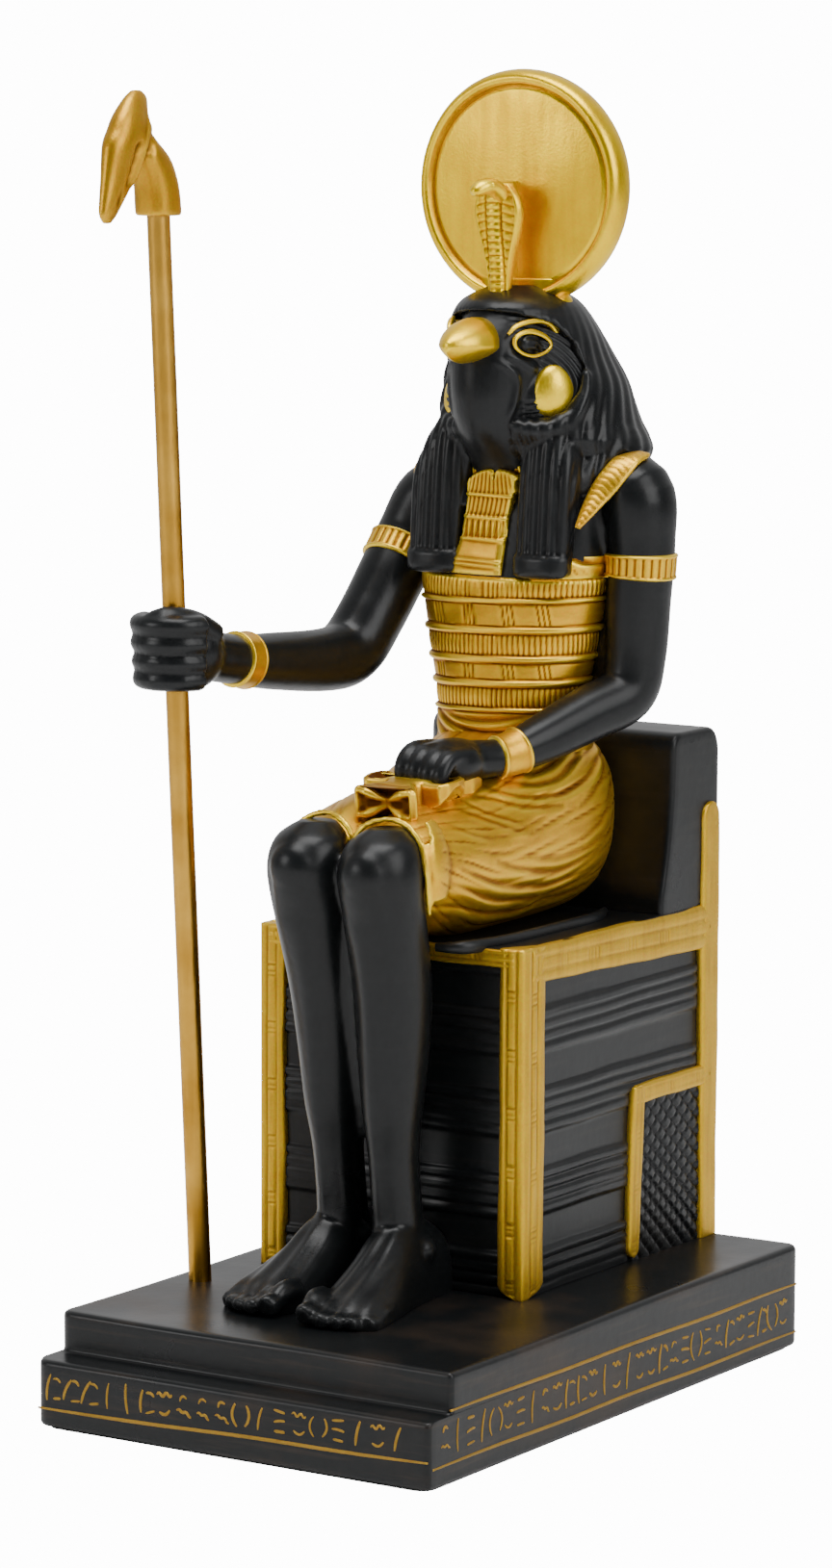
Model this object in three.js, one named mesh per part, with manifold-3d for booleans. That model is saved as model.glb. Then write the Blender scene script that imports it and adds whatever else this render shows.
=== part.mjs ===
// A seated falcon-headed god on a throne, cast in resin and painted black and gold,
// holding a gilt metal staff. Millimetres, +Z up; the figure faces -Y and its left is +X.
// The origin is the middle of the felt's underside.

import * as THREE from 'three';
import { mergeVertices } from 'three/addons/utils/BufferGeometryUtils.js';
import Module from 'manifold-3d';

const wasm = await Module();
wasm.setup();

// Plinth and felt
const feltThickness = 0.8;
const feltInset = 1.2;
const lowerTierHeight = 10.6;
const upperTierHeight = 6.7;
const ledgeDepth = 6.5;
const toeRoom = 11.8;
const rearMargin = 1.0;
const leftMargin = 16.5;
const rightMargin = 7.1;
const plinthCorner = 2.4;
const plinthEdge = 0.6;

// Throne
const seatShare = 0.2913;
const throneWidth = 52.4;
const throneDepth = 63.3;
const backrestRise = 30.4;
const backrestThickness = 14.4;
const backrestFlare = 3.6;
const stripRelief = 0.7;
const postWidth = 5.0;
const postDepth = 7.2;
const frontRailHeight = 3.0;
const sideRailHeight = 5.6;
const sideRailDrop = 2.4;
const rearPostDepth = 5.6;
const rearPostRise = 17.6;
const stripFoot = 1.5;
const doorWidth = 29.1;
const doorHeight = 30.3;
const doorLean = 1.7;
const doorStripWidth = 3.6;
const panelTop = 10.2;
const slatHeight = 1.95;
const slatsInBand = 4;
const bandPitch = 13.5;
const bandRecess = 0.5;
const grooveHeight = 0.5;
const grooveDepth = 0.45;
const latticePitch = 6.1;
const latticeSlope = 0.78;
const latticeGroove = 0.8;

// Seated figure: its height from the plinth to the top of the disc sets all its carving
const figureHeight = 199.8;
const sitterOffset = 1.0;
const discRadius = 19.5;
const discThickness = 5.8;
const discRim = 2.6;
const discDish = 0.7;
const bandRelief = 0.6;

// Staff
const rodDiameter = 3.8;
const rodClearance = 0.3;
const rodSocketDepth = 5.0;
const headSocketDepth = 8.0;
const rodLength = 190.0;
const staffEdgeDistance = 5.8;
const collarRadius = 3.4;

// Places worked out from the sizes above
const unit = figureHeight / 199.8;
const toeReach = 35.4 * unit;
const plinthWidth = rightMargin + throneWidth + leftMargin;
const plinthLength = ledgeDepth + toeRoom + toeReach + throneDepth + rearMargin;
const plinthBottom = feltThickness;
const ledgeTop = plinthBottom + lowerTierHeight;
const plinthTop = ledgeTop + upperTierHeight;
const seatTop = plinthTop + seatShare * figureHeight;
const throneRear = plinthLength / 2 - rearMargin;
const throneFront = throneRear - throneDepth;
const throneRight = -plinthWidth / 2 + rightMargin;
const throneLeft = throneRight + throneWidth;
const throneMiddle = (throneRight + throneLeft) / 2;
const sitterX = throneMiddle + sitterOffset;
const rodRadius = rodDiameter / 2;
const weld = 0.5;

// A point of the figure, given from its midplane, the throne's front and the plinth's top
const at = (x, y, z) => new THREE.Vector3(
  sitterX + x * unit,
  throneFront + y * unit,
  plinthTop + z * unit,
);

// Geometry helpers

function solid(geometry) {
  const bare = geometry.index ? geometry.clone() : geometry;
  bare.deleteAttribute('normal');
  bare.deleteAttribute('uv');
  const merged = mergeVertices(bare, 1e-3);
  return new wasm.Manifold(new wasm.Mesh({
    numProp: 3,
    vertProperties: new Float32Array(merged.attributes.position.array),
    triVerts: new Uint32Array(merged.index.array),
  }));
}

const joined = (solids) => solids.reduce((whole, next) => whole.add(next));

function geometryOf(manifold) {
  const mesh = manifold.getMesh();
  const geometry = new THREE.BufferGeometry();
  geometry.setAttribute('position', new THREE.BufferAttribute(mesh.vertProperties, 3));
  geometry.setIndex(new THREE.BufferAttribute(mesh.triVerts, 1));
  geometry.computeVertexNormals();
  return geometry;
}

// A skin over closed rings with equal point counts, its two ends closed by fans
function loft(rings) {
  const count = rings[0].length;
  const points = rings.flat();
  const index = [];
  for (let row = 0; row + 1 < rings.length; row += 1) {
    for (let i = 0; i < count; i += 1) {
      const j = (i + 1) % count;
      const low = row * count;
      const high = low + count;
      index.push(low + i, low + j, high + j, low + i, high + j, high + i);
    }
  }
  const closeEnd = (ring, base, flip) => {
    const hub = points.length;
    const middle = new THREE.Vector3();
    ring.forEach((point) => middle.addScaledVector(point, 1 / count));
    points.push(middle);
    for (let i = 0; i < count; i += 1) {
      const j = (i + 1) % count;
      index.push(...(flip ? [hub, base + j, base + i] : [hub, base + i, base + j]));
    }
  };
  closeEnd(rings[0], 0, true);
  closeEnd(rings[rings.length - 1], (rings.length - 1) * count, false);
  const geometry = new THREE.BufferGeometry().setFromPoints(points);
  geometry.setIndex(index);
  const body = solid(geometry);
  if (body.volume() > 0) return body;
  for (let i = 0; i < index.length; i += 3) [index[i], index[i + 1]] = [index[i + 1], index[i]];
  geometry.setIndex(index);
  return solid(geometry);
}

// Rows of numbers eased through by a Catmull-Rom curve, several steps from row to row
function eased(rows, steps) {
  const result = [];
  for (let i = 0; i + 1 < rows.length; i += 1) {
    const before = rows[Math.max(i - 1, 0)];
    const after = rows[Math.min(i + 2, rows.length - 1)];
    for (let step = 0; step < steps; step += 1) {
      const t = step / steps;
      result.push(rows[i].map((a, k) => {
        const b = rows[i + 1][k];
        const slopeA = (b - before[k]) / 2;
        const slopeB = (after[k] - a) / 2;
        const c = 3 * (b - a) - 2 * slopeA - slopeB;
        const d = 2 * (a - b) + slopeA + slopeB;
        return a + slopeA * t + c * t * t + d * t * t * t;
      }));
    }
  }
  result.push(rows[rows.length - 1]);
  return result;
}

const power = (value, exponent) => Math.sign(value) * Math.abs(value) ** exponent;

function around(sides, place) {
  return Array.from({ length: sides }, (_, i) => place((i / sides) * 2 * Math.PI, i));
}

// Level sections of [z, x, y, half width, half depth], squarer as the exponent grows
function stack(rows, sides, { squareness = 2, steps = 1, carve = () => 0 } = {}) {
  const p = 2 / squareness;
  return loft(eased(rows, steps).map(([z, x, y, a, b]) => around(sides, (turn, i) => {
    const grow = 1 + carve(i, z) / Math.max(a, b);
    return at(x + a * grow * power(Math.cos(turn), p), y + b * grow * power(Math.sin(turn), p), z);
  })));
}

// A limb of round section along points given as [x, y, z, radius]
function limb(rows, sides, steps = 1, flatten = 1) {
  const path = eased(rows, steps);
  const points = path.map(([x, y, z]) => at(x, y, z));
  const rings = points.map((point, i) => {
    const ahead = points[Math.min(i + 1, points.length - 1)].clone();
    const along = ahead.sub(points[Math.max(i - 1, 0)]).normalize();
    const reference = Math.abs(along.z) > 0.9 ? new THREE.Vector3(0, -1, 0) : new THREE.Vector3(0, 0, 1);
    const across = new THREE.Vector3().crossVectors(along, reference).normalize();
    const up = new THREE.Vector3().crossVectors(across, along);
    const radius = path[i][3] * unit;
    return around(sides, (turn) => point.clone()
      .addScaledVector(across, radius * Math.cos(turn))
      .addScaledVector(up, radius * flatten * Math.sin(turn)));
  });
  return loft(rings);
}

function ball(x, y, z, a, b, c, segments = 10) {
  const geometry = new THREE.SphereGeometry(1, segments, Math.round(segments * 0.7));
  geometry.rotateX(Math.PI / 2);
  geometry.scale(a * unit, b * unit, c * unit);
  geometry.translate(...at(x, y, z).toArray());
  return solid(geometry);
}

function box(x0, x1, y0, y1, z0, z1) {
  const geometry = new THREE.BoxGeometry(x1 - x0, y1 - y0, z1 - z0);
  geometry.translate((x0 + x1) / 2, (y0 + y1) / 2, (z0 + z1) / 2);
  return solid(geometry);
}

// An outline in the Y-Z plane carried along X
function sidePlate(outline, x0, x1) {
  const shape = new THREE.Shape(outline.map(([y, z]) => new THREE.Vector2(y, z)));
  const geometry = new THREE.ExtrudeGeometry(shape, { depth: x1 - x0, bevelEnabled: false });
  geometry.applyMatrix4(new THREE.Matrix4().set(0, 0, 1, x0, 1, 0, 0, 0, 0, 1, 0, 0, 0, 0, 0, 1));
  return solid(geometry);
}

// Plinth and felt

function roundedSlab(x0, x1, y0, y1, z0, height, corner, edge) {
  const shape = new THREE.Shape();
  const inset = edge;
  const [left, right, front, back] = [x0 + inset, x1 - inset, y0 + inset, y1 - inset];
  const r = corner - inset;
  shape.moveTo(left + r, front);
  shape.lineTo(right - r, front);
  shape.absarc(right - r, front + r, r, -Math.PI / 2, 0);
  shape.absarc(right - r, back - r, r, 0, Math.PI / 2);
  shape.absarc(left + r, back - r, r, Math.PI / 2, Math.PI);
  shape.absarc(left + r, front + r, r, Math.PI, Math.PI * 1.5);
  const geometry = new THREE.ExtrudeGeometry(shape, {
    depth: height - 2 * edge,
    curveSegments: 2,
    bevelEnabled: edge > 0,
    bevelThickness: edge,
    bevelSize: edge,
    bevelSegments: 1,
  });
  geometry.translate(0, 0, z0 + edge);
  return solid(geometry);
}

const halfWidth = plinthWidth / 2;
const halfLength = plinthLength / 2;

function plinth() {
  const lower = roundedSlab(
    -halfWidth, halfWidth, -halfLength, halfLength, plinthBottom, lowerTierHeight, plinthCorner, plinthEdge);
  const upper = roundedSlab(
    -halfWidth, halfWidth, -halfLength + ledgeDepth, halfLength,
    ledgeTop - 2 * plinthEdge, upperTierHeight + 2 * plinthEdge, plinthCorner, plinthEdge);
  return lower.add(upper);
}

function felt() {
  return roundedSlab(
    -halfWidth + feltInset, halfWidth - feltInset, -halfLength + feltInset, halfLength - feltInset,
    0, feltThickness, plinthCorner, 0);
}

// Throne

function backrestOutline() {
  const front = throneRear - backrestThickness;
  const top = seatTop + backrestRise;
  const round = backrestThickness * 0.3;
  const outline = [[throneRear, seatTop - weld], [throneRear, top - round * 1.6]];
  for (let i = 1; i <= 4; i += 1) {
    const turn = (i / 4) * (Math.PI / 2);
    outline.push([
      throneRear - round + round * Math.cos(turn),
      top - round * 1.6 + round * 1.6 * Math.sin(turn),
    ]);
  }
  outline.push([front + 2.4, top - 0.4], [front + 0.7, top - 1.6]);
  for (let i = 0; i <= 5; i += 1) {
    const t = i / 5;
    outline.push([front - backrestFlare * t * t, top - 2.6 - (backrestRise - 5.6) * t]);
  }
  outline.push([front - backrestFlare - 0.4, seatTop - weld]);
  return outline;
}

// Bands of slats run level round the throne's front and sides, with plain sunk bands between
function bandTops() {
  const tops = [];
  for (let top = seatTop - panelTop; top > plinthTop + slatHeight; top -= bandPitch) tops.push(top);
  return tops;
}

function slatGrooves() {
  const grooves = [];
  for (const top of bandTops()) {
    for (let i = 1; i < slatsInBand; i += 1) {
      const low = top - i * slatHeight - grooveHeight / 2;
      if (low > plinthTop + grooveHeight) grooves.push([low, low + grooveHeight]);
    }
  }
  return grooves;
}

function sunkBands() {
  const height = bandPitch - slatsInBand * slatHeight;
  const highest = seatTop - frontRailHeight + weld;
  return bandTops().map((top) => [top, Math.min(top + height, highest)]);
}

const rearPostFront = throneRear - rearPostDepth;
const doorTop = plinthTop + doorHeight;
const doorFoot = plinthTop + stripFoot;
const doorFront = throneRear - doorWidth;

// One cutter that runs round the front and both sides between two heights
function wrapCut(low, high, depth) {
  const stop = low < doorTop ? doorFront : rearPostFront;
  const [x0, x1] = [throneRight + stripRelief + depth, throneLeft - stripRelief - depth];
  const back = throneFront + stripRelief + depth;
  const outline = [
    [throneRight - weld, throneFront - weld], [throneLeft + weld, throneFront - weld],
    [throneLeft + weld, stop], [x1, stop], [x1, back], [x0, back], [x0, stop],
    [throneRight - weld, stop],
  ];
  const shape = new THREE.Shape(outline.map(([x, y]) => new THREE.Vector2(x, y)));
  const geometry = new THREE.ExtrudeGeometry(shape, { depth: high - low, bevelEnabled: false });
  geometry.translate(0, 0, low);
  return solid(geometry);
}

// Slanting grooves cut into the panel inside the door's frame
function lattice(x0, x1) {
  const front = doorFront + doorLean + doorStripWidth;
  const low = plinthTop + stripFoot;
  const high = doorTop - doorStripWidth;
  const width = rearPostFront - front;
  const cuts = [];
  for (let start = low + latticePitch; start < high + width * latticeSlope; start += latticePitch) {
    const near = Math.max(0, (start - high) / latticeSlope);
    const far = Math.min(width, (start - low) / latticeSlope);
    const edge = [near, far].map((y) => [front + y, start - latticeSlope * y]);
    const under = edge.map(([y, z]) => [y, z - latticeGroove]).reverse();
    cuts.push(sidePlate([...edge, ...under], x0, x1));
  }
  return cuts;
}

// Corner posts and the rail across the front
function frontStrips(behind) {
  return [
    box(throneRight, throneRight + postWidth, throneFront, behind, doorFoot, seatTop),
    box(throneLeft - postWidth, throneLeft, throneFront, behind, doorFoot, seatTop),
    box(throneRight, throneLeft, throneFront, behind, seatTop - frontRailHeight, seatTop),
  ];
}

// One side: corner post, rail that deepens backwards, rear post and a small door's leaning frame
function sideStrips(x0, x1) {
  const strip = (outline) => sidePlate(outline, x0, x1);
  const upright = (y0, y1, z0, z1) => strip([[y0, z0], [y1, z0], [y1, z1], [y0, z1]]);
  return [
    upright(throneFront, throneFront + postDepth, doorFoot, seatTop),
    upright(rearPostFront, throneRear, plinthTop - weld, seatTop + rearPostRise),
    upright(doorFront + doorLean, throneRear, doorTop - doorStripWidth, doorTop),
    strip([
      [throneFront, seatTop - sideRailHeight], [throneRear, seatTop - sideRailHeight - sideRailDrop],
      [throneRear, seatTop], [throneFront, seatTop],
    ]),
    strip([
      [doorFront, doorFoot], [doorFront + doorStripWidth, doorFoot],
      [doorFront + doorLean + doorStripWidth, doorTop], [doorFront + doorLean, doorTop],
    ]),
  ];
}

function throne() {
  const inner = stripRelief + bandRecess + weld;
  const [x0, x1] = [throneRight + stripRelief, throneLeft - stripRelief];
  const core = box(x0, x1, throneFront + stripRelief, throneRear, plinthTop - weld, seatTop - weld);
  const cuts = [
    ...slatGrooves().map(([low, high]) => wrapCut(low, high, grooveDepth)),
    ...sunkBands().map(([low, high]) => wrapCut(low, high, bandRecess)),
    ...lattice(x1 - grooveDepth, throneLeft + weld),
    ...lattice(throneRight - weld, x0 + grooveDepth),
  ];
  const added = [
    box(throneRight, throneLeft, throneFront, throneRear, seatTop - 2 * weld, seatTop),
    sidePlate(backrestOutline(), x0, x1),
    ...frontStrips(throneFront + inner),
    ...sideStrips(throneRight, throneRight + inner),
    ...sideStrips(throneLeft - inner, throneLeft),
  ];
  return core.subtract(joined(cuts)).add(joined(added));
}

// Legs, feet and toes of the figure's left side; the right leg stands a little inward and back

const legRows = [
  // height, out, forward, half width, half depth
  [5, 7.0, -8.8, 4.5, 6.0],
  [14, 6.9, -9.4, 3.9, 4.9],
  [24, 6.8, -10.4, 3.9, 4.9],
  [32, 6.9, -11.0, 4.7, 5.7],
  [41, 7.0, -10.9, 5.5, 6.6],
  [58, 7.5, -13.0, 6.3, 7.3],
  [66, 7.6, -15.1, 6.8, 7.2],
  [72, 7.6, -15.8, 7.0, 7.1],
  [76.4, 7.6, -15.0, 5.9, 6.0],
  [78.9, 7.6, -13.6, 2.8, 3.2],
];

const footRows = [
  // forward, out, half width, height
  [3, 6.9, 3.6, 8.5],
  [-2, 7.0, 4.6, 12.0],
  [-8, 7.3, 5.0, 14.5],
  [-14, 7.9, 5.3, 13.2],
  [-19, 8.6, 5.8, 9.6],
  [-24, 9.3, 6.3, 6.6],
  [-28.5, 9.9, 6.6, 4.6],
  [-31, 10.1, 6.4, 3.4],
];

const toeRows = [
  // out, tip, radius
  [5.2, -35.2, 2.0],
  [8.3, -35.4, 1.45],
  [10.9, -34.9, 1.35],
  [13.3, -33.8, 1.3],
  [15.4, -31.6, 1.25],
];

const kneeLevel = 73;
const rightLegShift = { knee: [0.7, 1.0], foot: [2.0, 2.0] };

// Turns a place on the left leg into one on either leg
function onLeg(side, x, y, z) {
  if (side > 0) return [x, y, z];
  const drop = 1 - Math.min(z, kneeLevel) / kneeLevel;
  const shift = rightLegShift.knee.map((knee, k) => knee + (rightLegShift.foot[k] - knee) * drop);
  return [shift[0] - x, y + shift[1], z];
}

function leg(side) {
  return stack(legRows.map(([z, x, y, a, b]) => {
    const [placeX, placeY] = onLeg(side, x, y, z);
    return [z, placeX, placeY, a, b];
  }), 8);
}

function foot(side) {
  const rings = footRows.map(([y, x, a, h]) => around(9, (turn) => {
    const up = power(Math.sin(turn), 0.75);
    const [placeX, placeY] = onLeg(side, x, y, 0);
    return at(placeX + a * power(Math.cos(turn), 0.8), placeY, up < -0.01 ? -weld : h * up);
  }));
  const toes = toeRows.map(([x, tip, r]) => limb([
    [...onLeg(side, x - 0.5, tip + 6, r * 1.3), r * 0.95],
    [...onLeg(side, x + 0.1, tip + 1.4, r * 0.9), r * 1.04],
    [...onLeg(side, x + 0.1, tip, r * 0.7), r * 0.55],
  ], 5));
  return joined([loft(rings), ...toes]);
}

// The web of resin that ties the calves to each other and to the throne
function legWeb() {
  return stack([
    [26, 0.4, -4, 2.2, 5.0],
    [36, 0.4, -5, 4.6, 6.4],
    [50, 0.2, -6, 6.6, 7.6],
    [66, 0, -6.6, 7.6, 8.6],
    [72, 0, -6.2, 7.6, 8.0],
  ], 8, { squareness: 3 });
}

// Kilt: cloth drawn tight over hips and thighs, dipping between them

const kiltRows = [
  // forward, half width, bottom, top, valley
  [-11.6, 14.1, 64.5, 78.4, 2.2],
  [-8, 15.4, 62.0, 80.2, 2.2],
  [7, 16.4, 57.6, 83.6, 1.5],
  [16, 16.7, 57.4, 86.2, 0.9],
  [26, 16.9, 57.4, 89.4, 0.3],
  [35, 16.9, 57.6, 91.5, 0],
  [43, 16.0, 58.4, 91.0, 0],
  [48.5, 12.5, 61.5, 86.5, 0],
];
const valleyWidth = 3.4;

function kilt() {
  return loft(kiltRows.map(([y, a, low, top, valley]) => around(16, (turn) => {
    const x = a * power(Math.cos(turn), 0.86);
    const up = power(Math.sin(turn), 0.8);
    const middle = (low + top) / 2 + 1.5;
    const dip = up > 0 ? valley * Math.exp(-((x / valleyWidth) ** 2)) : 0;
    return at(x, y, middle + (up > 0 ? top - middle : middle - low) * up - dip);
  })));
}

// Torso: corset of banded work, chest and shoulders

const torsoRows = [
  // height, out, back, half width, half depth
  [84, 0, 37.6, 13.6, 9.6],
  [90, 0, 37.2, 13.2, 9.8],
  [96, 0, 36.9, 13.3, 10.0],
  [104, 0, 37.3, 15.1, 10.2],
  [115.5, 0, 38.4, 17.3, 11.3],
  [126.5, 0, 40.4, 18.9, 11.4],
  [131, 0, 41.0, 18.2, 10.2],
  [134.5, 0, 41.4, 14.6, 8.8],
  [137, 0, 41.6, 9.6, 7.2],
];

// Heights of the four raised hoops of the corset
const corsetHoops = [92.2, 97.8, 103.2, 109.2];
const hoopHeight = 1.2;
const torsoSides = 14;
const torsoSquareness = 2.3;

// The row part-way between two others, by its place in the list
function partWay(rows, place) {
  const i = Math.min(Math.floor(place), rows.length - 2);
  return rows[i].map((value, k) => value + (rows[i + 1][k] - value) * (place - i));
}

function torsoAt(height) {
  const i = torsoRows.findIndex(([z]) => z > height) - 1;
  const [low, high] = [torsoRows[i][0], torsoRows[i + 1][0]];
  return partWay(torsoRows, i + (height - low) / (high - low));
}

function torso() {
  const edges = corsetHoops.flatMap((middle) => [[-0.65, 0], [-0.5, 1], [0.5, 1], [0.65, 0]].map(
    ([share, proud]) => {
      const [z, x, y, a, b] = torsoAt(middle + share * hoopHeight);
      return [z, x, y, a + proud * bandRelief, b + proud * bandRelief];
    }));
  const rows = [...torsoRows, ...edges].sort((low, high) => low[0] - high[0]);
  return stack(rows, torsoSides, { squareness: torsoSquareness });
}

// Arms, hands and bracelets

const leftArmRows = [
  // out, back, height, radius
  [14.5, 41.4, 130.6, 4.8],
  [21.0, 41.0, 130.0, 6.5],
  [22.3, 41.0, 121.5, 5.8],
  [21.9, 41.0, 112.0, 5.5],
  [21.5, 41.0, 102.6, 5.1],
  [20.7, 39.2, 96.4, 4.9],
  [17.2, 32.0, 93.2, 4.7],
  [13.8, 23.4, 89.8, 4.1],
  [10.8, 16.2, 87.5, 3.2],
  [8.4, 11.4, 87.2, 3.4],
];

const rightArmRows = [
  [-14.5, 41.4, 129.6, 4.6],
  [-19.4, 40.9, 127.4, 5.9],
  [-22.4, 39.6, 121.0, 6.0],
  [-23.4, 35.0, 114.6, 5.9],
  [-24.6, 30.4, 107.8, 5.8],
  [-25.9, 25.8, 102.2, 5.8],
  [-26.5, 19.0, 100.9, 5.4],
  [-27.4, 4.0, 102.0, 4.8],
  [-27.9, -6.0, 103.2, 4.2],
  [-28.6, -12.6, 104.4, 4.2],
];

const leftGrip = [5.2, 6.4, 86.8];
const rightGrip = [-30.1, -19.7, 105.4];

const staffFoot = new THREE.Vector3(
  -halfWidth + staffEdgeDistance, throneFront - 15.3 * unit, plinthTop);
const rodAxis = at(...rightGrip).sub(staffFoot).normalize();
const rodBottom = staffFoot.clone().addScaledVector(rodAxis, -rodSocketDepth);
const rodTop = rodBottom.clone().addScaledVector(rodAxis, rodLength);

function rodShape(radius, from, to, sides = 14) {
  const geometry = new THREE.CylinderGeometry(radius, radius, from.distanceTo(to), sides);
  const turn = new THREE.Quaternion().setFromUnitVectors(new THREE.Vector3(0, 1, 0), rodAxis);
  geometry.applyQuaternion(turn);
  const middle = from.clone().add(to).multiplyScalar(0.5);
  geometry.translate(...middle.toArray());
  return solid(geometry);
}

// Right fist: palm behind the rod, four fingers wrapped round its front, thumb on top
function rightFist() {
  const [x, y, z] = rightGrip;
  const palm = ball(x + 1.0, y + 3.4, z, 5.6, 5.4, 6.4, 8);
  const fingers = [4.9, 1.8, -1.2, -4.1].map((lift, i) => {
    const reach = 5.4 - 0.15 * i;
    return limb([175, 220, 265, 310, 355].map((degrees) => {
      const turn = (degrees * Math.PI) / 180;
      return [x + reach * Math.cos(turn) * 1.12, y + reach * Math.sin(turn), z + lift, 2.0];
    }), 5);
  });
  const thumb = limb([
    [x + 4.4, y + 4.6, z + 2.6, 2.4],
    [x + 3.6, y + 0.4, z + 5.2, 2.1],
    [x + 1.2, y - 3.6, z + 6.4, 1.8],
    [x - 1.6, y - 5.0, z + 6.0, 1.2],
  ], 5);
  return joined([palm, ...fingers, thumb]);
}

// Left fist: flat on the thigh, its fingers curled forward over the ankh
function leftFist() {
  const [x, y, z] = leftGrip;
  const back = ball(x + 0.8, y + 1.6, z + 0.4, 5.6, 6.6, 3.9, 8);
  const fingers = [-3.9, -1.4, 1.1, 3.5].map((out, i) => limb([
    [x + out + 1.2, y + 1.5, z + 2.6 - 0.25 * i, 1.5],
    [x + out + 0.2, y - 3.4, z + 2.4 - 0.3 * i, 1.6],
    [x + out - 0.2, y - 5.8, z - 0.2 - 0.3 * i, 1.55],
    [x + out - 0.1, y - 5.2, z - 3.2 - 0.2 * i, 1.4],
  ], 5));
  return joined([back, ...fingers]);
}

// A limb's rows with raised hoops let in, each between two places in the list
function hooped(rows, hoops) {
  const rim = 0.04;
  const all = rows.map((row, i) => [i, row]);
  for (const [from, to] of hoops) {
    for (const [place, proud] of [[from - rim, 0], [from, 1], [to, 1], [to + rim, 0]]) {
      const [x, y, z, radius] = partWay(rows, place);
      all.push([place, [x, y, z, radius + proud * bandRelief]]);
    }
  }
  const inHoop = (place) => hoops.some(([from, to]) => place > from && place < to);
  return all.filter(([place]) => !inHoop(place)).sort((low, high) => low[0] - high[0]).map(([, row]) => row);
}

function arms() {
  const leftHoops = [[2.16, 2.62], [7.65, 8.3]];
  const rightHoops = [[2.28, 2.86], [7.64, 8.05]];
  return joined([
    limb(hooped(leftArmRows, leftHoops), 8),
    limb(hooped(rightArmRows, rightHoops), 8),
    leftFist(),
    rightFist(),
  ]);
}

// Wig: cap, flared sides and back, and two lappets of grooved locks on the chest

const wigRows = [
  // height, out, back, half width, half depth
  [118.5, 0, 49.6, 12.6, 4.4],
  [125.5, 0, 48.6, 16.0, 6.4],
  [133.4, 0, 45.3, 18.9, 12.6],
  [137.2, 0, 43.8, 19.8, 16.2],
  [142, 0, 42.3, 18.3, 17.0],
  [148, 0, 41.1, 16.4, 17.3],
  [152.6, 0, 40.3, 14.6, 16.6],
  [157.4, 0, 39.1, 12.7, 14.8],
  [161.8, 0, 38.3, 9.8, 11.4],
  [164.6, 0, 38.2, 4.6, 5.4],
];

const lappetRows = [
  // height, out, back, half width, half depth
  [116.4, 10.2, 29.4, 4.9, 3.2],
  [124, 10.4, 30.0, 5.2, 3.2],
  [132, 10.6, 31.2, 5.6, 3.8],
  [138, 9.9, 33.2, 5.2, 5.0],
  [143, 8.2, 35.6, 4.4, 6.0],
];
const lappetHem = 3.4;
const lockDepth = 0.35;

// The face's opening, seen from the side: from the brow back to the cheek and down to the chin
const wigOpening = [
  [27.6, 160.6], [32.4, 158.8], [35.2, 155.0], [36.0, 150.0], [35.4, 145.6],
  [32.6, 142.0], [28.0, 140.4], [2.0, 140.4], [2.0, 160.6],
];

function wigCut() {
  const outline = wigOpening.map(([y, z]) => at(0, y, z)).map((point) => [point.y, point.z]);
  const reach = 30 * unit;
  return sidePlate(outline, sitterX - reach, sitterX + reach);
}

function wig() {
  const locks = (i) => (i % 2 ? -lockDepth : lockDepth);
  const cap = stack(wigRows, 22, { carve: locks }).subtract(wigCut());
  const lappets = [-1, 1].map((side) => {
    const rows = lappetRows.map(([z, x, ...rest]) => [z, side * x, ...rest]);
    const hem = [0, lappetHem].map((rise) => {
      const [z, x, y, a, b] = rows[0];
      return [z + rise, x, y, a + bandRelief, b + bandRelief];
    });
    return joined([
      stack(rows, 14, { squareness: 2.6, carve: locks }),
      stack(hem, 12, { squareness: 2.8 }),
    ]);
  });
  return joined([cap, ...lappets]);
}

// Falcon's head: throat and crown, cheek ruffs with gilt spots, eyes and beak

const headRows = [
  // height, out, back, half width, half depth
  [128, 0, 38.6, 7.8, 7.4],
  [134, 0, 37.6, 7.8, 8.8],
  [140, 0, 36.4, 8.0, 12.8],
  [145, 0, 36.0, 8.5, 13.8],
  [150, 0, 36.4, 9.1, 14.2],
  [155, 0, 37.8, 9.3, 14.9],
  [159.6, 0, 38.4, 8.6, 12.2],
  [162.4, 0, 38.6, 6.8, 8.8],
  [163.6, 0, 38.6, 4.2, 5.0],
];

function beak() {
  const rings = [
    // forward, half width, low, high
    [24.5, 5.0, 151.8, 159.6],
    [22.0, 5.0, 152.0, 159.4],
    [19.8, 4.3, 152.2, 158.8],
    [17.6, 2.9, 152.4, 157.4],
    [16.0, 1.6, 152.4, 155.8],
    [15.2, 0.6, 152.8, 154.4],
  ].map(([y, a, low, high]) => around(8, (turn) => at(
    a * Math.cos(turn), y, (low + high) / 2 + ((high - low) / 2) * Math.sin(turn))));
  return loft(rings);
}

function cheek(side) {
  const ruff = ball(side * 6.2, 35.8, 145.4, 5.2, 7.6, 7.6, 8);
  const spot = ball(side * 10.2, 32.2, 146.0, 1.6, 3.6, 4.4, 6);
  const eye = ball(side * 7.3, 30.2, 155.2, 1.6, 2.9, 1.9, 7);
  return [ruff, spot, eye];
}

function head() {
  return joined([stack(headRows, 14), beak(), ...cheek(1), ...cheek(-1)]);
}

// Sun disc with a raised rim round a dished face, and the rearing cobra before it

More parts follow.
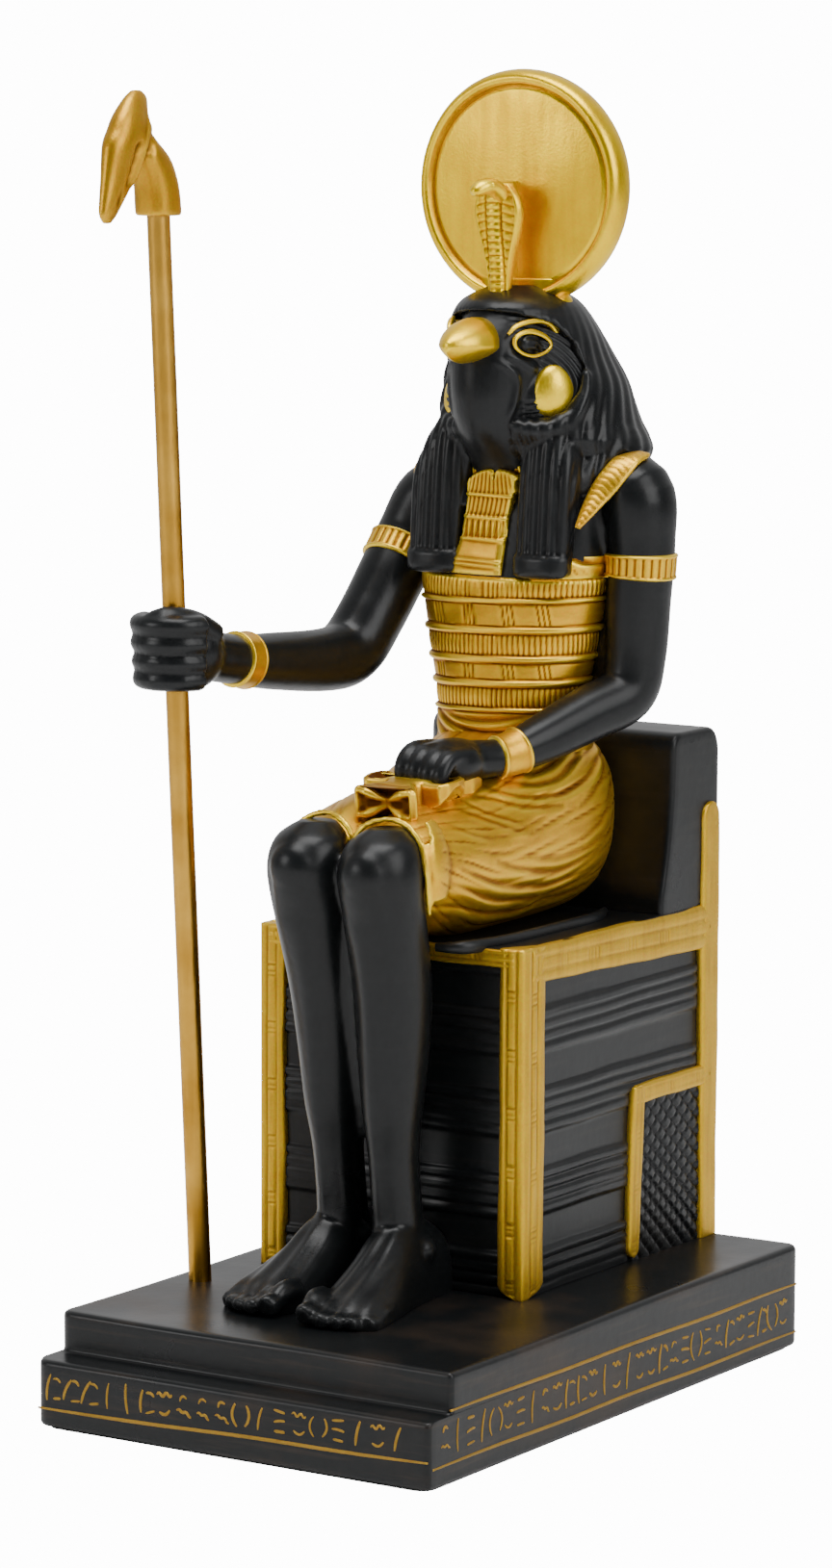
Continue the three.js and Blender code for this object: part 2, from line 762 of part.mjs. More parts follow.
function disc() {
  const centre = at(0, 38.9, 199.8 - discRadius / unit);
  const half = discThickness / 2;
  const round = half * 0.55;
  const slope = 0.6;
  const profile = [
    [0, discDish - half], [discRadius - discRim - slope, discDish - half],
    [discRadius - discRim, -half], [discRadius - round, -half], [discRadius, round - half],
    [discRadius, half - round], [discRadius - round, half], [0, half],
  ];
  const geometry = new THREE.LatheGeometry(profile.map(([r, y]) => new THREE.Vector2(r, y)), 28);
  geometry.translate(...centre.toArray());
  const lip = stack([
    [160.5, 0, 38.6, 9.0, 4.6],
    [162.4, 0, 38.7, 9.4, 3.6],
    [165.4, 0, 38.8, 8.2, 2.8],
  ], 12);
  return solid(geometry).add(lip);
}

const hoodRows = [
  // height, half width, front
  [160.6, 1.9, 30.4],
  [166, 2.2, 30.4],
  [170, 3.0, 30.4],
  [174, 4.2, 30.2],
  [177, 4.5, 30.0],
  [179.4, 3.6, 30.0],
  [181.4, 1.8, 30.2],
];
const hoodBack = 37.4;
const hoodThickness = 2.6;
const webWidth = 1.7;

// The hood is a thin shield before the disc, tied to it by a narrow web
function cobra() {
  const half = hoodThickness / 2;
  const hood = loft(hoodRows.map(([z, a, front]) => around(10, (turn) => at(
    a * power(Math.cos(turn), 0.8), front + half + half * Math.sin(turn), z))));
  const web = loft(hoodRows.map(([z, , front]) => [
    [-webWidth, front + half], [webWidth, front + half], [webWidth, hoodBack], [-webWidth, hoodBack],
  ].map(([x, y]) => at(x, y, z))));
  const headShape = limb([
    [0.2, 32.0, 179.4, 1.5],
    [-0.2, 30.2, 181.0, 1.8],
    [-1.0, 28.0, 181.6, 1.8],
    [-1.6, 26.2, 180.9, 1.1],
  ], 7, 1, 0.8);
  return joined([hood, web, headShape]);
}

// Ankh lying on the lap below the left fist, its stem running out between the knees
function ankh() {
  const half = [
    [3.2, -9.2], [1.3, -1.6], [9.0, -3.2], [9.0, 3.2], [1.4, 1.6],
    [3.6, 5.6], [3.9, 9.0], [2.4, 12.4], [0, 13.6],
  ];
  const other = half.slice(0, -1).map(([x, y]) => [-x, y]).reverse();
  const shape = new THREE.Shape([...half, ...other].map(([x, y]) => new THREE.Vector2(x, y)));
  const geometry = new THREE.ExtrudeGeometry(shape, {
    depth: 3.0, bevelEnabled: true, bevelThickness: 0.4, bevelSize: 0.4, bevelSegments: 1,
  });
  geometry.scale(unit, unit, unit);
  geometry.rotateX(0.16);
  geometry.translate(...at(0.6, -2.6, 78.6).toArray());
  return solid(geometry);
}

// Shoulder straps of the corset
function straps() {
  return joined([-1, 1].map((side) => limb([
    [side * 12.2, 27.6, 121.0, 1.2],
    [side * 15.2, 29.8, 126.4, 2.0],
    [side * 17.2, 34.4, 131.8, 2.2],
    [side * 17.2, 41.4, 134.2, 2.2],
    [side * 15.6, 48.4, 131.0, 1.8],
  ], 6, 1, 0.6)));
}

function statue() {
  const figure = [
    leg(1), leg(-1), foot(1), foot(-1), legWeb(), kilt(), torso(), arms(), wig(), head(),
    disc(), cobra(), ankh(), straps(),
  ];
  const bore = rodShape(
    rodRadius + rodClearance,
    rodBottom.clone().addScaledVector(rodAxis, -rodClearance),
    rodTop);
  return joined([plinth(), throne(), ...figure]).subtract(bore);
}

// Staff head: a collar and a neck that leans forward into a long narrow beast's head, which
// stands up to its ears and hangs down to its muzzle before the neck

const neckRows = [
  // up, forward, half width, half depth
  [0, 0, 3.4, 3.4],
  [5, 0.3, 3.4, 3.4],
  [9, 1.6, 2.9, 3.4],
  [12, 4.3, 2.3, 3.2],
  [14.5, 6.8, 2.0, 3.0],
];

const beastRows = [
  [-0.7, 15.6, 0.5, 0.8],
  [1.7, 14.7, 1.2, 2.2],
  [6.5, 12.1, 1.9, 3.7],
  [11.4, 9.8, 2.6, 5.0],
  [14, 8.2, 2.6, 4.9],
  [16.2, 8.0, 2.1, 3.6],
  [19.3, 6.4, 1.3, 2.4],
  [20.6, 6.0, 0.5, 0.9],
];

function staffHead() {
  const grow = collarRadius / neckRows[0][2];
  const foot = rodTop.clone().addScaledVector(rodAxis, -headSocketDepth);
  const form = (rows) => loft(rows.map(([up, forward, a, b]) => around(8, (turn) => foot.clone()
    .addScaledVector(rodAxis, up * grow)
    .add(new THREE.Vector3(a * Math.cos(turn), b * Math.sin(turn) - forward, 0).multiplyScalar(grow)))));
  const socket = rodShape(
    rodRadius + rodClearance,
    foot.clone().addScaledVector(rodAxis, -1),
    rodTop.clone().addScaledVector(rodAxis, rodClearance));
  return form(neckRows).add(form(beastRows)).subtract(socket);
}

const rod = () => rodShape(rodRadius, rodBottom, rodTop);

// The finished group

const finish = (color, roughness, metalness) => (
  new THREE.MeshStandardMaterial({ color, roughness, metalness }));
const blackPaint = finish(0x1d1e20, 0.42, 0);
const goldPaint = finish(0xc9a24a, 0.4, 0.8);
const giltMetal = finish(0xc6a04c, 0.35, 0.9);
const blackFelt = finish(0x141414, 0.95, 0);

const group = new THREE.Group();

function addPiece(name, body, material) {
  const mesh = new THREE.Mesh(geometryOf(body), material);
  mesh.name = name;
  group.add(mesh);
}

addPiece('statue', statue(), blackPaint);
addPiece('staff_rod', rod(), giltMetal);
addPiece('staff_head', staffHead(), goldPaint);
addPiece('felt_pad', felt(), blackFelt);

export default group;
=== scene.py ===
# A seated falcon-headed god cast in resin and painted black and gold, with a gilt metal staff.
# Sizes are in millimetres. +Z is up, the figure faces -Y and its left hand is on the +X side.

import math

import bpy
import numpy as np
from mathutils import Matrix


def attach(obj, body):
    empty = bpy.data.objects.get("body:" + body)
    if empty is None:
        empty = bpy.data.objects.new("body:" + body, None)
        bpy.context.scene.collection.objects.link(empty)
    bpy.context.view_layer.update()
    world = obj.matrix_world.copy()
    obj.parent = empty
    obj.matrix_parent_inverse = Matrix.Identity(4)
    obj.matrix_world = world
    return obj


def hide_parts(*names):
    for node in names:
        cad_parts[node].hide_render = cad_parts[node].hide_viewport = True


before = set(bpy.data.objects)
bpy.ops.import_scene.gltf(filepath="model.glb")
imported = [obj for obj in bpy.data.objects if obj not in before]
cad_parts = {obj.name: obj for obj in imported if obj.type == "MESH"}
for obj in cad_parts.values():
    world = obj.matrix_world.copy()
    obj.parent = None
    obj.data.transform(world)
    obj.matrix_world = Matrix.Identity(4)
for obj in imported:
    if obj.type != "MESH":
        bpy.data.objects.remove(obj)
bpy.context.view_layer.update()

# Studio
# A flat white card far wider than the picture, and three large soft lamps, as for a catalogue
# picture. The camera stands well to the figure's left and a little higher than its disc, and looks
# slightly down through a long lens.

PHOTO_HEIGHT = 1629
LONG_SIDE_MM = 36.0
FOCAL_PIXELS = 5788.22
CAMERA_PLACE = (0.49204967, -0.76528927, 0.22714665)
CAMERA_YAW = math.radians(32.898)
CAMERA_PITCH = math.radians(7.856)
CAMERA_ROLL = math.radians(0.2055)
CAMERA_REACH = 100.0
CARD_WHITE = "#fbfbfb"
CARD_MOTTLE = "#f8f8f8"
CARD_SIZE = 30.0
BURN_OUT = 14.0
ROOM_DARK = 0.07
ROOM_LIGHT = 0.95
LIGHT_WALL = (-0.48, 0.74, 0.47)
HEART = (0.0, 0.0, 0.11)
LAMPS = [
    # name, place, width, height, power
    ("lamp_right", (1.15, -0.25, 0.75), 0.8, 1.0, 13.0),
    ("lamp_left", (-0.74, -1.12, 0.5), 0.45, 0.5, 4.6),
    ("lamp_above", (0.05, -0.25, 1.3), 0.9, 0.7, 17.0),
]


def linear(colour):
    """An sRGB hex value as linear red, green, blue and alpha: the standard sRGB curve undone."""
    parts = [int(colour[i:i + 2], 16) / 255 for i in (1, 3, 5)]
    return [p / 12.92 if p < 0.04045 else ((p + 0.055) / 1.055) ** 2.4 for p in parts] + [1.0]


def add_node(tree, kind, inputs=None, stops=None, **settings):
    """Adds a node. An input is a value, a socket, or a node whose first output is meant. Stops are
    a ramp's places and colours, and settings are the node's own properties."""
    node = tree.nodes.new(kind)
    for name, value in settings.items():
        setattr(node, name, value)
    for name, value in (inputs or {}).items():
        if isinstance(value, bpy.types.Node):
            value = value.outputs[0]
        if isinstance(value, bpy.types.NodeSocket):
            tree.links.new(value, node.inputs[name])
        else:
            node.inputs[name].default_value = value
    for i, (place, colour) in enumerate(stops or []):
        ramp = node.color_ramp.elements
        element = ramp[i] if i < 2 else ramp.new(place)
        element.position = place
        element.color = linear(colour)
    return node


def new_material(name):
    """A node material with nothing in it but the place on the object, which its patterns follow."""
    material = bpy.data.materials.new(name)
    material.use_nodes = True
    tree = material.node_tree
    tree.nodes.clear()
    return material, tree, add_node(tree, "ShaderNodeTexCoord").outputs["Object"]


def matt_card():
    """Matt white card: no gloss, with the faint mottle of paper pulp. The photograph is exposed
    until the card burns out, so for the camera alone the card also gives off light."""
    material, tree, place = new_material("matt_white_card")
    mottle = add_node(tree, "ShaderNodeTexNoise", {"Vector": place, "Scale": 3.0})
    colour = add_node(tree, "ShaderNodeValToRGB", {"Fac": mottle}, [(0.0, CARD_MOTTLE), (1.0, CARD_WHITE)])
    paper = add_node(tree, "ShaderNodeBsdfPrincipled", {
        "Base Color": colour, "Roughness": 0.95, "Specular IOR Level": 0.1})
    burnt_out = add_node(tree, "ShaderNodeEmission", {"Color": linear("#ffffff"), "Strength": BURN_OUT})
    ray = add_node(tree, "ShaderNodeLightPath")
    seen = add_node(tree, "ShaderNodeMixShader", {
        "Fac": ray.outputs["Is Camera Ray"], 1: paper, 2: burnt_out})
    add_node(tree, "ShaderNodeOutputMaterial", {"Surface": seen})
    return material


def white_room():
    """The room: its far wall and ceiling are bright, and the side with the camera lies in the dark.
    The camera sees it burnt out, like the card."""
    room = bpy.data.worlds.new("white_room")
    room.use_nodes = True
    tree = room.node_tree
    tree.nodes.clear()
    ray = add_node(tree, "ShaderNodeLightPath")
    where = add_node(tree, "ShaderNodeTexCoord")
    facing = add_node(tree, "ShaderNodeVectorMath", {
        0: where.outputs["Generated"], 1: LIGHT_WALL}, operation="DOT_PRODUCT")
    wall = add_node(tree, "ShaderNodeMapRange", {
        "Value": facing.outputs["Value"], "From Min": -0.1, "From Max": 0.9,
        "To Min": ROOM_DARK, "To Max": ROOM_LIGHT})
    strength = add_node(tree, "ShaderNodeMapRange", {
        "Value": ray.outputs["Is Camera Ray"], "To Min": wall, "To Max": BURN_OUT})
    light = add_node(tree, "ShaderNodeBackground", {"Color": linear("#ffffff"), "Strength": strength})
    add_node(tree, "ShaderNodeOutputWorld", {"Surface": light})
    return room


def unit(vectors):
    """The vectors shortened or stretched to a length of one."""
    return vectors / np.linalg.norm(vectors, axis=-1, keepdims=True)


def add_object(name, data):
    """A new object in the scene that shows the data."""
    item = bpy.data.objects.new(name, data)
    bpy.context.scene.collection.objects.link(item)
    return item


def set_down(item, axes, place):
    """Puts an object in its place, with its own X, Y and Z along the given axes."""
    turn = np.eye(4)
    turn[:3, :3] = np.transpose(axes)
    turn[:3, 3] = place
    item.matrix_world = Matrix(turn.tolist())
    return item


def photo_camera():
    """The camera looks against its back axis, which its yaw and pitch give. Right and up are
    square to that and turned by its roll."""
    back = np.array([
        math.sin(CAMERA_YAW) * math.cos(CAMERA_PITCH),
        -math.cos(CAMERA_YAW) * math.cos(CAMERA_PITCH),
        math.sin(CAMERA_PITCH),
    ])
    level = np.array([math.cos(CAMERA_YAW), math.sin(CAMERA_YAW), 0.0])
    upright = np.cross(back, level)
    right = math.cos(CAMERA_ROLL) * level + math.sin(CAMERA_ROLL) * upright
    up = math.cos(CAMERA_ROLL) * upright - math.sin(CAMERA_ROLL) * level
    lens = bpy.data.cameras.new("photo_camera")
    lens.lens = FOCAL_PIXELS / PHOTO_HEIGHT * LONG_SIDE_MM
    lens.sensor_width = LONG_SIDE_MM
    lens.clip_end = CAMERA_REACH
    return set_down(add_object("photo_camera", lens), (right, up, back), CAMERA_PLACE)


def card_floor():
    """A square of card, lying at the height of the felt's underside."""
    half = CARD_SIZE / 2
    mesh = bpy.data.meshes.new("white_card")
    mesh.from_pydata([(-half, -half, 0), (half, -half, 0), (half, half, 0), (-half, half, 0)], [],
                     [(0, 1, 2, 3)])
    mesh.materials.append(matt_card())
    return add_object("white_card", mesh)


def soft_lamp(name, place, width, height, power):
    """A flat lamp that faces the figure's heart: its back axis is the way from there to it."""
    lamp = bpy.data.lights.new(name, "AREA")
    lamp.shape = "RECTANGLE"
    lamp.size = width
    lamp.size_y = height
    lamp.energy = power
    back = unit(np.subtract(place, HEART))
    side = unit(np.cross([0.0, 0.0, 1.0], back))
    set_down(add_object(name, lamp), (side, np.cross(back, side), back), place)


bpy.context.scene.camera = photo_camera()
card_floor()
for lamp_values in LAMPS:
    soft_lamp(*lamp_values)
bpy.context.scene.world = white_room()

# Plinth
# The foot of the one resin casting: a lower tier, and an upper one set back along its front.
# It is poured in a rubber mould, so its corners are soft, and it is painted black over brown.

MM = 0.001
HALF_WIDTH = 38.0
HALF_LENGTH = 59.0
PLINTH_BOTTOM = 0.4
LEDGE_TOP = 11.4
LEDGE_DEPTH = 6.5
PLINTH_TOP = 18.1
SOFT_CORNER = 2.4
CRISP_CORNER = 0.9
EDGE_ROUND = 0.9
PLINTH_STEPS = (78, 50)
COAT_BLACKS = ("#0b0c0d", "#121415")
RUBBED_EDGE = "#232526"
# painted shade: the near black that the hollows of the black enamel are darkened to
PAINTED_SHADE_BLACK = "#050505"
UPPER_FRONT = LEDGE_DEPTH - HALF_LENGTH


def lofted(grid):
    """A closed skin over rows of rings: a quad for each cell, and a fan to the middle at each end."""
    rows, sides = grid.shape[:2]
    points = np.concatenate([grid.reshape(-1, 3), grid[:1].mean(1), grid[-1:].mean(1)])
    low = (np.arange(rows - 1)[:, None] * sides + np.arange(sides)).ravel()
    near = (np.arange(rows - 1)[:, None] * sides + (np.arange(sides) + 1) % sides).ravel()
    quads = np.stack([low, near, near + sides, low + sides], 1)
    ring = np.arange(sides)
    ahead = (ring + 1) % sides
    last = (rows - 1) * sides
    hub = rows * sides
    first_fan = np.stack([ahead, ring, np.full(sides, hub)], 1)
    last_fan = np.stack([last + ring, last + ahead, np.full(sides, hub + 1)], 1)
    return points, quads, np.concatenate([first_fan, last_fan])


def outward(shell):
    """The shell with its faces turned out: they are reversed where its signed volume is negative."""
    points, quads, triangles = shell
    corners = np.concatenate([triangles, quads[:, [0, 1, 2]], quads[:, [0, 2, 3]]])
    a, b, c = points[corners[:, 0]], points[corners[:, 1]], points[corners[:, 2]]
    if (a * np.cross(b, c)).sum() < 0:
        return points, quads[:, ::-1], triangles[:, ::-1]
    return shell


def joined(shells):
    """Several shells as one: each one's faces are counted on from the points before it."""
    shells = [outward(shell) for shell in shells]
    starts = np.cumsum([0] + [len(points) for points, _, _ in shells])
    return (
        np.concatenate([points for points, _, _ in shells]),
        np.concatenate([quads + start for (_, quads, _), start in zip(shells, starts)]),
        np.concatenate([triangles + start for (_, _, triangles), start in zip(shells, starts)]),
    )


def mesh_of(name, shell):
    """A smooth-shaded mesh of a shell, brought from millimetres to metres."""
    points, quads, triangles = shell
    mesh = bpy.data.meshes.new(name)
    mesh.vertices.add(len(points))
    mesh.vertices.foreach_set("co", (points * MM).astype(np.float32).ravel())
    mesh.loops.add(quads.size + triangles.size)
    mesh.loops.foreach_set("vertex_index", np.concatenate([quads.ravel(), triangles.ravel()]))
    mesh.polygons.add(len(quads) + len(triangles))
    starts = np.concatenate([
        np.arange(len(quads)) * 4, quads.size + np.arange(len(triangles)) * 3])
    mesh.polygons.foreach_set("loop_start", starts)
    mesh.polygons.foreach_set("use_smooth", np.ones(len(starts), bool))
    mesh.update(calc_edges=True)
    mesh.validate()
    return mesh


def read_values(items, field, width):
    """A field of a mesh's items as an array, with one row for each item."""
    values = np.empty(len(items) * width, np.float32)
    items.foreach_get(field, values)
    return values.reshape(-1, width).astype(float)


def mark_hollows(mesh, reach):
    """Stores how deep each point lies, in millimetres: the distance along its normal to where it
    goes when it is moved to the mean of its neighbours again and again, as far as the reach."""
    points = read_values(mesh.vertices, "co", 3) / MM
    normals = read_values(mesh.vertex_normals, "vector", 3)
    pairs = np.empty(len(mesh.edges) * 2, np.int32)
    mesh.edges.foreach_get("vertices", pairs)
    a, b = pairs.reshape(-1, 2).T
    count = len(points)
    step = np.median(np.linalg.norm(points[a] - points[b], axis=1))
    share = np.maximum(np.bincount(a, minlength=count) + np.bincount(b, minlength=count), 1)[:, None]
    moved = points.copy()
    for _ in range(int(np.clip((reach / step) ** 2, 2, 30))):
        total = np.stack([
            np.bincount(a, moved[b, k], count) + np.bincount(b, moved[a, k], count)
            for k in range(3)], 1)
        moved = 0.5 * moved + 0.5 * total / share
    depth = ((moved - points) * normals).sum(1)
    layer = mesh.attributes.new("hollow", "FLOAT", "POINT")
    layer.data.foreach_set("value", depth.astype(np.float32))


def make_piece(name, shell, material, reach=1.0):
    """The finished object of one shell, at the origin, with its material and its hollows marked."""
    mesh = mesh_of(name, outward(shell))
    mark_hollows(mesh, reach)
    mesh.materials.append(material)
    piece = add_object(name, mesh)
    bpy.context.view_layer.update()
    return piece


def rounded_ring(x0, x1, y0, y1, z, radii, counts):
    """Points round a level rectangle whose corners are arcs: straight runs of evenly spaced points
    between quarter circles, from the front left corner on, with one radius for each corner.
    The counts are the steps along each side and along each end."""
    centres = [(x1, y0), (x1, y1), (x0, y1), (x0, y0)]
    inward = [(-1, 1), (-1, -1), (1, -1), (1, 1)]
    runs = []
    for k, ((cx, cy), (sx, sy), r) in enumerate(zip(centres, inward, radii)):
        turn = np.linspace(0, math.pi / 2, 7) + (k - 1) * math.pi / 2
        arc = np.stack([cx + sx * r + r * np.cos(turn), cy + sy * r + r * np.sin(turn)], 1)
        (nx, ny), (tx, ty), rn = centres[(k + 1) % 4], inward[(k + 1) % 4], radii[(k + 1) % 4]
        turn_next = k * math.pi / 2
        target = np.array([nx + tx * rn + rn * math.cos(turn_next), ny + ty * rn + rn * math.sin(turn_next)])
        t = np.linspace(0, 1, counts[k % 2] + 1)[1:-1, None]
        runs += [arc, arc[-1] * (1 - t) + target * t]
    flat = np.concatenate(runs)
    return np.column_stack([flat, np.full(len(flat), z)])


def plinth_shell():
    """Rings from the foot up: the front runs back at the ledge while the other faces go straight
    up, and each edge is a quarter circle of inset against height."""
    radii = (CRISP_CORNER, SOFT_CORNER, SOFT_CORNER, SOFT_CORNER)
    edge = [(EDGE_ROUND * (1 - math.sin(t)), EDGE_ROUND * (1 - math.cos(t)))
            for t in np.linspace(0, math.pi / 2, 5)]
    rows = [(far, -HALF_LENGTH, PLINTH_BOTTOM + near) for far, near in edge]
    rows += [(0, -HALF_LENGTH, z) for z in np.linspace(PLINTH_BOTTOM + 2, LEDGE_TOP - EDGE_ROUND, 8)]
    rows += [(0, -HALF_LENGTH + near, LEDGE_TOP - far) for far, near in edge[1:]]
    rows += [(0, y, LEDGE_TOP) for y in np.linspace(-HALF_LENGTH + 1.6, UPPER_FRONT - 0.7, 6)]
    rows += [(0, UPPER_FRONT - 0.2, LEDGE_TOP + 0.1), (0, UPPER_FRONT, LEDGE_TOP + 0.5)]
    rows += [(0, UPPER_FRONT, z) for z in np.linspace(LEDGE_TOP + 1.3, PLINTH_TOP - EDGE_ROUND, 6)]
    rows += [(near, UPPER_FRONT, PLINTH_TOP - far) for far, near in edge[1:]]
    rows += [(inset, UPPER_FRONT, PLINTH_TOP) for inset in (1.8, 4.0, 8.0, 14.0, 22.0, 30.0)]
    grid = np.array([
        rounded_ring(-HALF_WIDTH + inset, HALF_WIDTH - inset, front + inset, HALF_LENGTH - inset, z,
                     [max(r - inset, 0.15) for r in radii], PLINTH_STEPS)
        for inset, front, z in rows])
    x, y, z = grid[..., 0], grid[..., 1], grid[..., 2]
    sway = 0.12 * np.sin(y / 13 + 0.6) + 0.08 * np.sin(x / 9 + y / 31 + 2)
    grid[..., 2] = z + sway * (z > LEDGE_TOP + 2) * np.clip((z - LEDGE_TOP - 2) / 4, 0, 1)
    return lofted(grid)


def rubbed_black_enamel(name, brown, coat_marks):
    """Satin black enamel over brown resin. It is sprayed on thin, so it shines softly, and where
    hands and cloths rub it the brown shows through; coat_marks is how far that goes, 0 to 1.
    Its ridges are rubbed lighter, and its hollows are darkened towards black as painted shade."""
    material, tree, place = new_material(name)
    hollow = add_node(tree, "ShaderNodeAttribute", attribute_name="hollow").outputs["Fac"]
    cloud = add_node(tree, "ShaderNodeTexNoise", {"Vector": place, "Scale": 38.0, "Detail": 4.0})
    fine = add_node(tree, "ShaderNodeTexNoise", {"Vector": place, "Scale": 520.0, "Detail": 3.0})
    streaks = add_node(tree, "ShaderNodeMapping", {"Vector": place, "Scale": (60.0, 60.0, 900.0)})
    streak = add_node(tree, "ShaderNodeTexNoise", {"Vector": streaks, "Scale": 1.0, "Detail": 4.0})
    colour = add_node(tree, "ShaderNodeMixRGB", {
        "Fac": fine, "Color1": linear(COAT_BLACKS[0]), "Color2": linear(COAT_BLACKS[1])})
    layers = [
        # what decides where it shows, from which value to which, how much of it, and its colour
        (cloud, 0.56, 0.72, coat_marks, brown),
        (streak, 0.52, 0.75, coat_marks, brown),
        (hollow, -0.03, -0.16, 0.5, RUBBED_EDGE),
        # painted shade: the deeper a point lies in a hollow, the nearer to black it is painted
        (hollow, 0.02, 0.14, 0.75, PAINTED_SHADE_BLACK),
    ]
    for value, low, high, most, tint in layers:
        share = add_node(tree, "ShaderNodeMapRange", {
            "Value": value, "From Min": low, "From Max": high, "To Max": most})
        colour = add_node(tree, "ShaderNodeMixRGB", {
            "Fac": share, "Color1": colour, "Color2": linear(tint)})
    shine = add_node(tree, "ShaderNodeMapRange", {
        "Value": cloud, "From Min": 0.3, "From Max": 0.7, "To Min": 0.26, "To Max": 0.38})
    grain = add_node(tree, "ShaderNodeBump", {"Height": fine, "Strength": 0.12, "Distance": 0.0002})
    enamel = add_node(tree, "ShaderNodeBsdfPrincipled", {
        "Base Color": colour, "Roughness": shine, "Normal": grain, "Specular IOR Level": 0.25})
    add_node(tree, "ShaderNodeOutputMaterial", {"Surface": enamel})
    return material


plinth_enamel = rubbed_black_enamel("rubbed_black_enamel_on_plinth", "#33281f", 0.55)
plinth = make_piece("plinth", plinth_shell(), plinth_enamel)
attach(plinth, "root")
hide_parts("statue")

# Gold lines and strokes round the plinth
# Shallow lines cut in the mould and picked out with a fine brush of gold paint: a line along each
# visible face, a second one at the ledge's height on the side, and rows of plain strokes between.

LINE_WIDTH = 0.62
LINE_PROUD = 0.14
LINE_POINTS = 160
STROKE_WIDTH = 0.52
STROKE_SINK = 0.25
STROKE_PITCH = 3.7
SIDE_LOW_LINE = (-57.9, 57.6, (3.85, 2.9))
SIDE_HIGH_LINE = (UPPER_FRONT - 0.2, 57.6, (12.15, 11.25))
FRONT_LINE = (-37.3, 37.7, (3.4, 5.05))
SIDE_STROKES = (-55.5, 56.6, (4.7, 3.9), (11.2, 10.2))
FRONT_STROKES = (-35.6, 36.4, (4.3, 5.8), (9.9, 10.6))
SEED = 41


def upright_face(axis, level, outward):
    """The function that takes (along, up, lift) to places on an upright face. The face stands
    square to the axis, 0 for X and 1 for Y, at that level, and lift counts outward, +1 or -1."""
    def on_face(along, up, lift):
        """Places on this face."""
        across = level + outward * lift
        return np.stack([across, along, up] if axis == 0 else [along, across, up], -1)

    return on_face


on_front = upright_face(1, -HALF_LENGTH, -1)
on_left_side = upright_face(0, HALF_WIDTH, 1)


def closed_section(across, lift, sink, narrow=1.0):
    """A ridge's sections, each closed by two points sunk below its two rims."""
    across = np.concatenate([across, across[:, -1:] * narrow, across[:, :1] * narrow], 1)
    return across, np.concatenate([lift, np.full((len(lift), 2), -sink)], 1)


def ridge_skin(path, ahead, across, lift, on_face):
    """The skin of sections that stand across a path on a face."""
    along = path[:, :1] - ahead[:, 1:] * across
    up = path[:, 1:] + ahead[:, :1] * across
    return lofted(on_face(along, up, lift))


def stroke_ridge(along, up, width, on_face):
    """A low ridge along a path: each section is a flat half ellipse across the path, which narrows
    to half at the path's two ends."""
    path = np.stack([along, up], 1)
    ahead = unit(np.gradient(path, axis=0))
    t = np.linspace(0, 1, len(path))[:, None]
    taper = np.clip(1.15 * np.sin(math.pi * (0.06 + 0.88 * t)) ** 0.45, 0, 1)
    turn = np.linspace(0, math.pi, 5)
    across = width / 2 * taper * np.cos(turn)
    across, lift = closed_section(across, LINE_PROUD * taper * np.sin(turn), STROKE_SINK, 0.8)
    return ridge_skin(path, ahead, across, lift, on_face)


def long_line(start, end, heights, on_face, rng):
    """One painted line, nearly straight: its height runs evenly from end to end and wavers."""
    along = np.linspace(start, end, LINE_POINTS)
    waver = 0.1 * np.sin(along / 7.3 + 1.1) + 0.06 * rng.standard_normal(LINE_POINTS).cumsum() / 12
    up = np.linspace(*heights, LINE_POINTS) + waver
    return stroke_ridge(along, up, LINE_WIDTH, on_face)


def stroke_row(start, end, low_at, high_at, on_face, rng):
    """A row of plain strokes: in each place one to three bars, bows and waves of random slant,
    bend and length, none of them closed or crossed into a sign. The row's lower and upper edges
    are given by their heights at its start and end."""
    shells = []
    t = np.linspace(-0.5, 0.5, 13)
    for place in np.arange(start + 1.2, end - 0.8, STROKE_PITCH):
        share = (place - start) / (end - start)
        low = low_at[0] + (low_at[1] - low_at[0]) * share
        high = high_at[0] + (high_at[1] - high_at[0]) * share
        room = high - low
        middle = (low + high) / 2
        kinds = [
            # along, up, length, slant in degrees, bend, wave
            [(0.0, 0.0, room * 0.86, 84, 0.1, 0)],
            [(-0.9, 0.0, room * 0.72, 92, 0.42, 0), (0.9, 0.1, room * 0.62, 88, -0.42, 0)],
            [(0.0, room * 0.3, 2.9, 4, 0.0, 0.3), (0.0, -room * 0.2, 2.3, 2, -0.5, 0)],
            [(-0.7, 0.0, room * 0.74, 78, 0.15, 0), (0.9, room * 0.22, 1.6, -24, 0.4, 0),
             (0.9, -room * 0.3, 1.7, 8, 0, 0)],
            [(0.0, room * 0.32, 2.1, 0, 0, 0), (0.0, 0.0, 2.4, 3, 0.1, 0),
             (0.0, -room * 0.32, 2.0, -3, 0, 0)],
            [(0.0, room * 0.22, 1.5, 20, 0.8, 0), (0.1, -room * 0.2, 2.7, -14, 0.2, 0.15)],
        ]
        rows = kinds[int(rng.integers(0, len(kinds)))]
        for dx, dz, length, slant, bend, wave in rows:
            turn = math.radians(slant + rng.normal(0, 7))
            run = t * length * rng.uniform(0.85, 1.1)
            bow = bend * length * (0.25 - t * t) * 2 + wave * np.sin(t * 4 * math.pi)
            along = place + dx + run * math.cos(turn) - bow * math.sin(turn)
            up = middle + dz + run * math.sin(turn) + bow * math.cos(turn)
            shells.append(stroke_ridge(along, up, STROKE_WIDTH * rng.uniform(0.75, 1.1), on_face))
    return shells


def plinth_gilding():
    """All the lines and strokes: rows on the side that is seen and on the front."""
    rng = np.random.default_rng(SEED)
    shells = [
        long_line(*SIDE_LOW_LINE, on_left_side, rng), long_line(*SIDE_HIGH_LINE, on_left_side, rng),
        long_line(*FRONT_LINE, on_front, rng),
    ]
    shells += stroke_row(*SIDE_STROKES, on_left_side, rng)
    shells += stroke_row(*FRONT_STROKES, on_front, rng)
    return joined(shells)


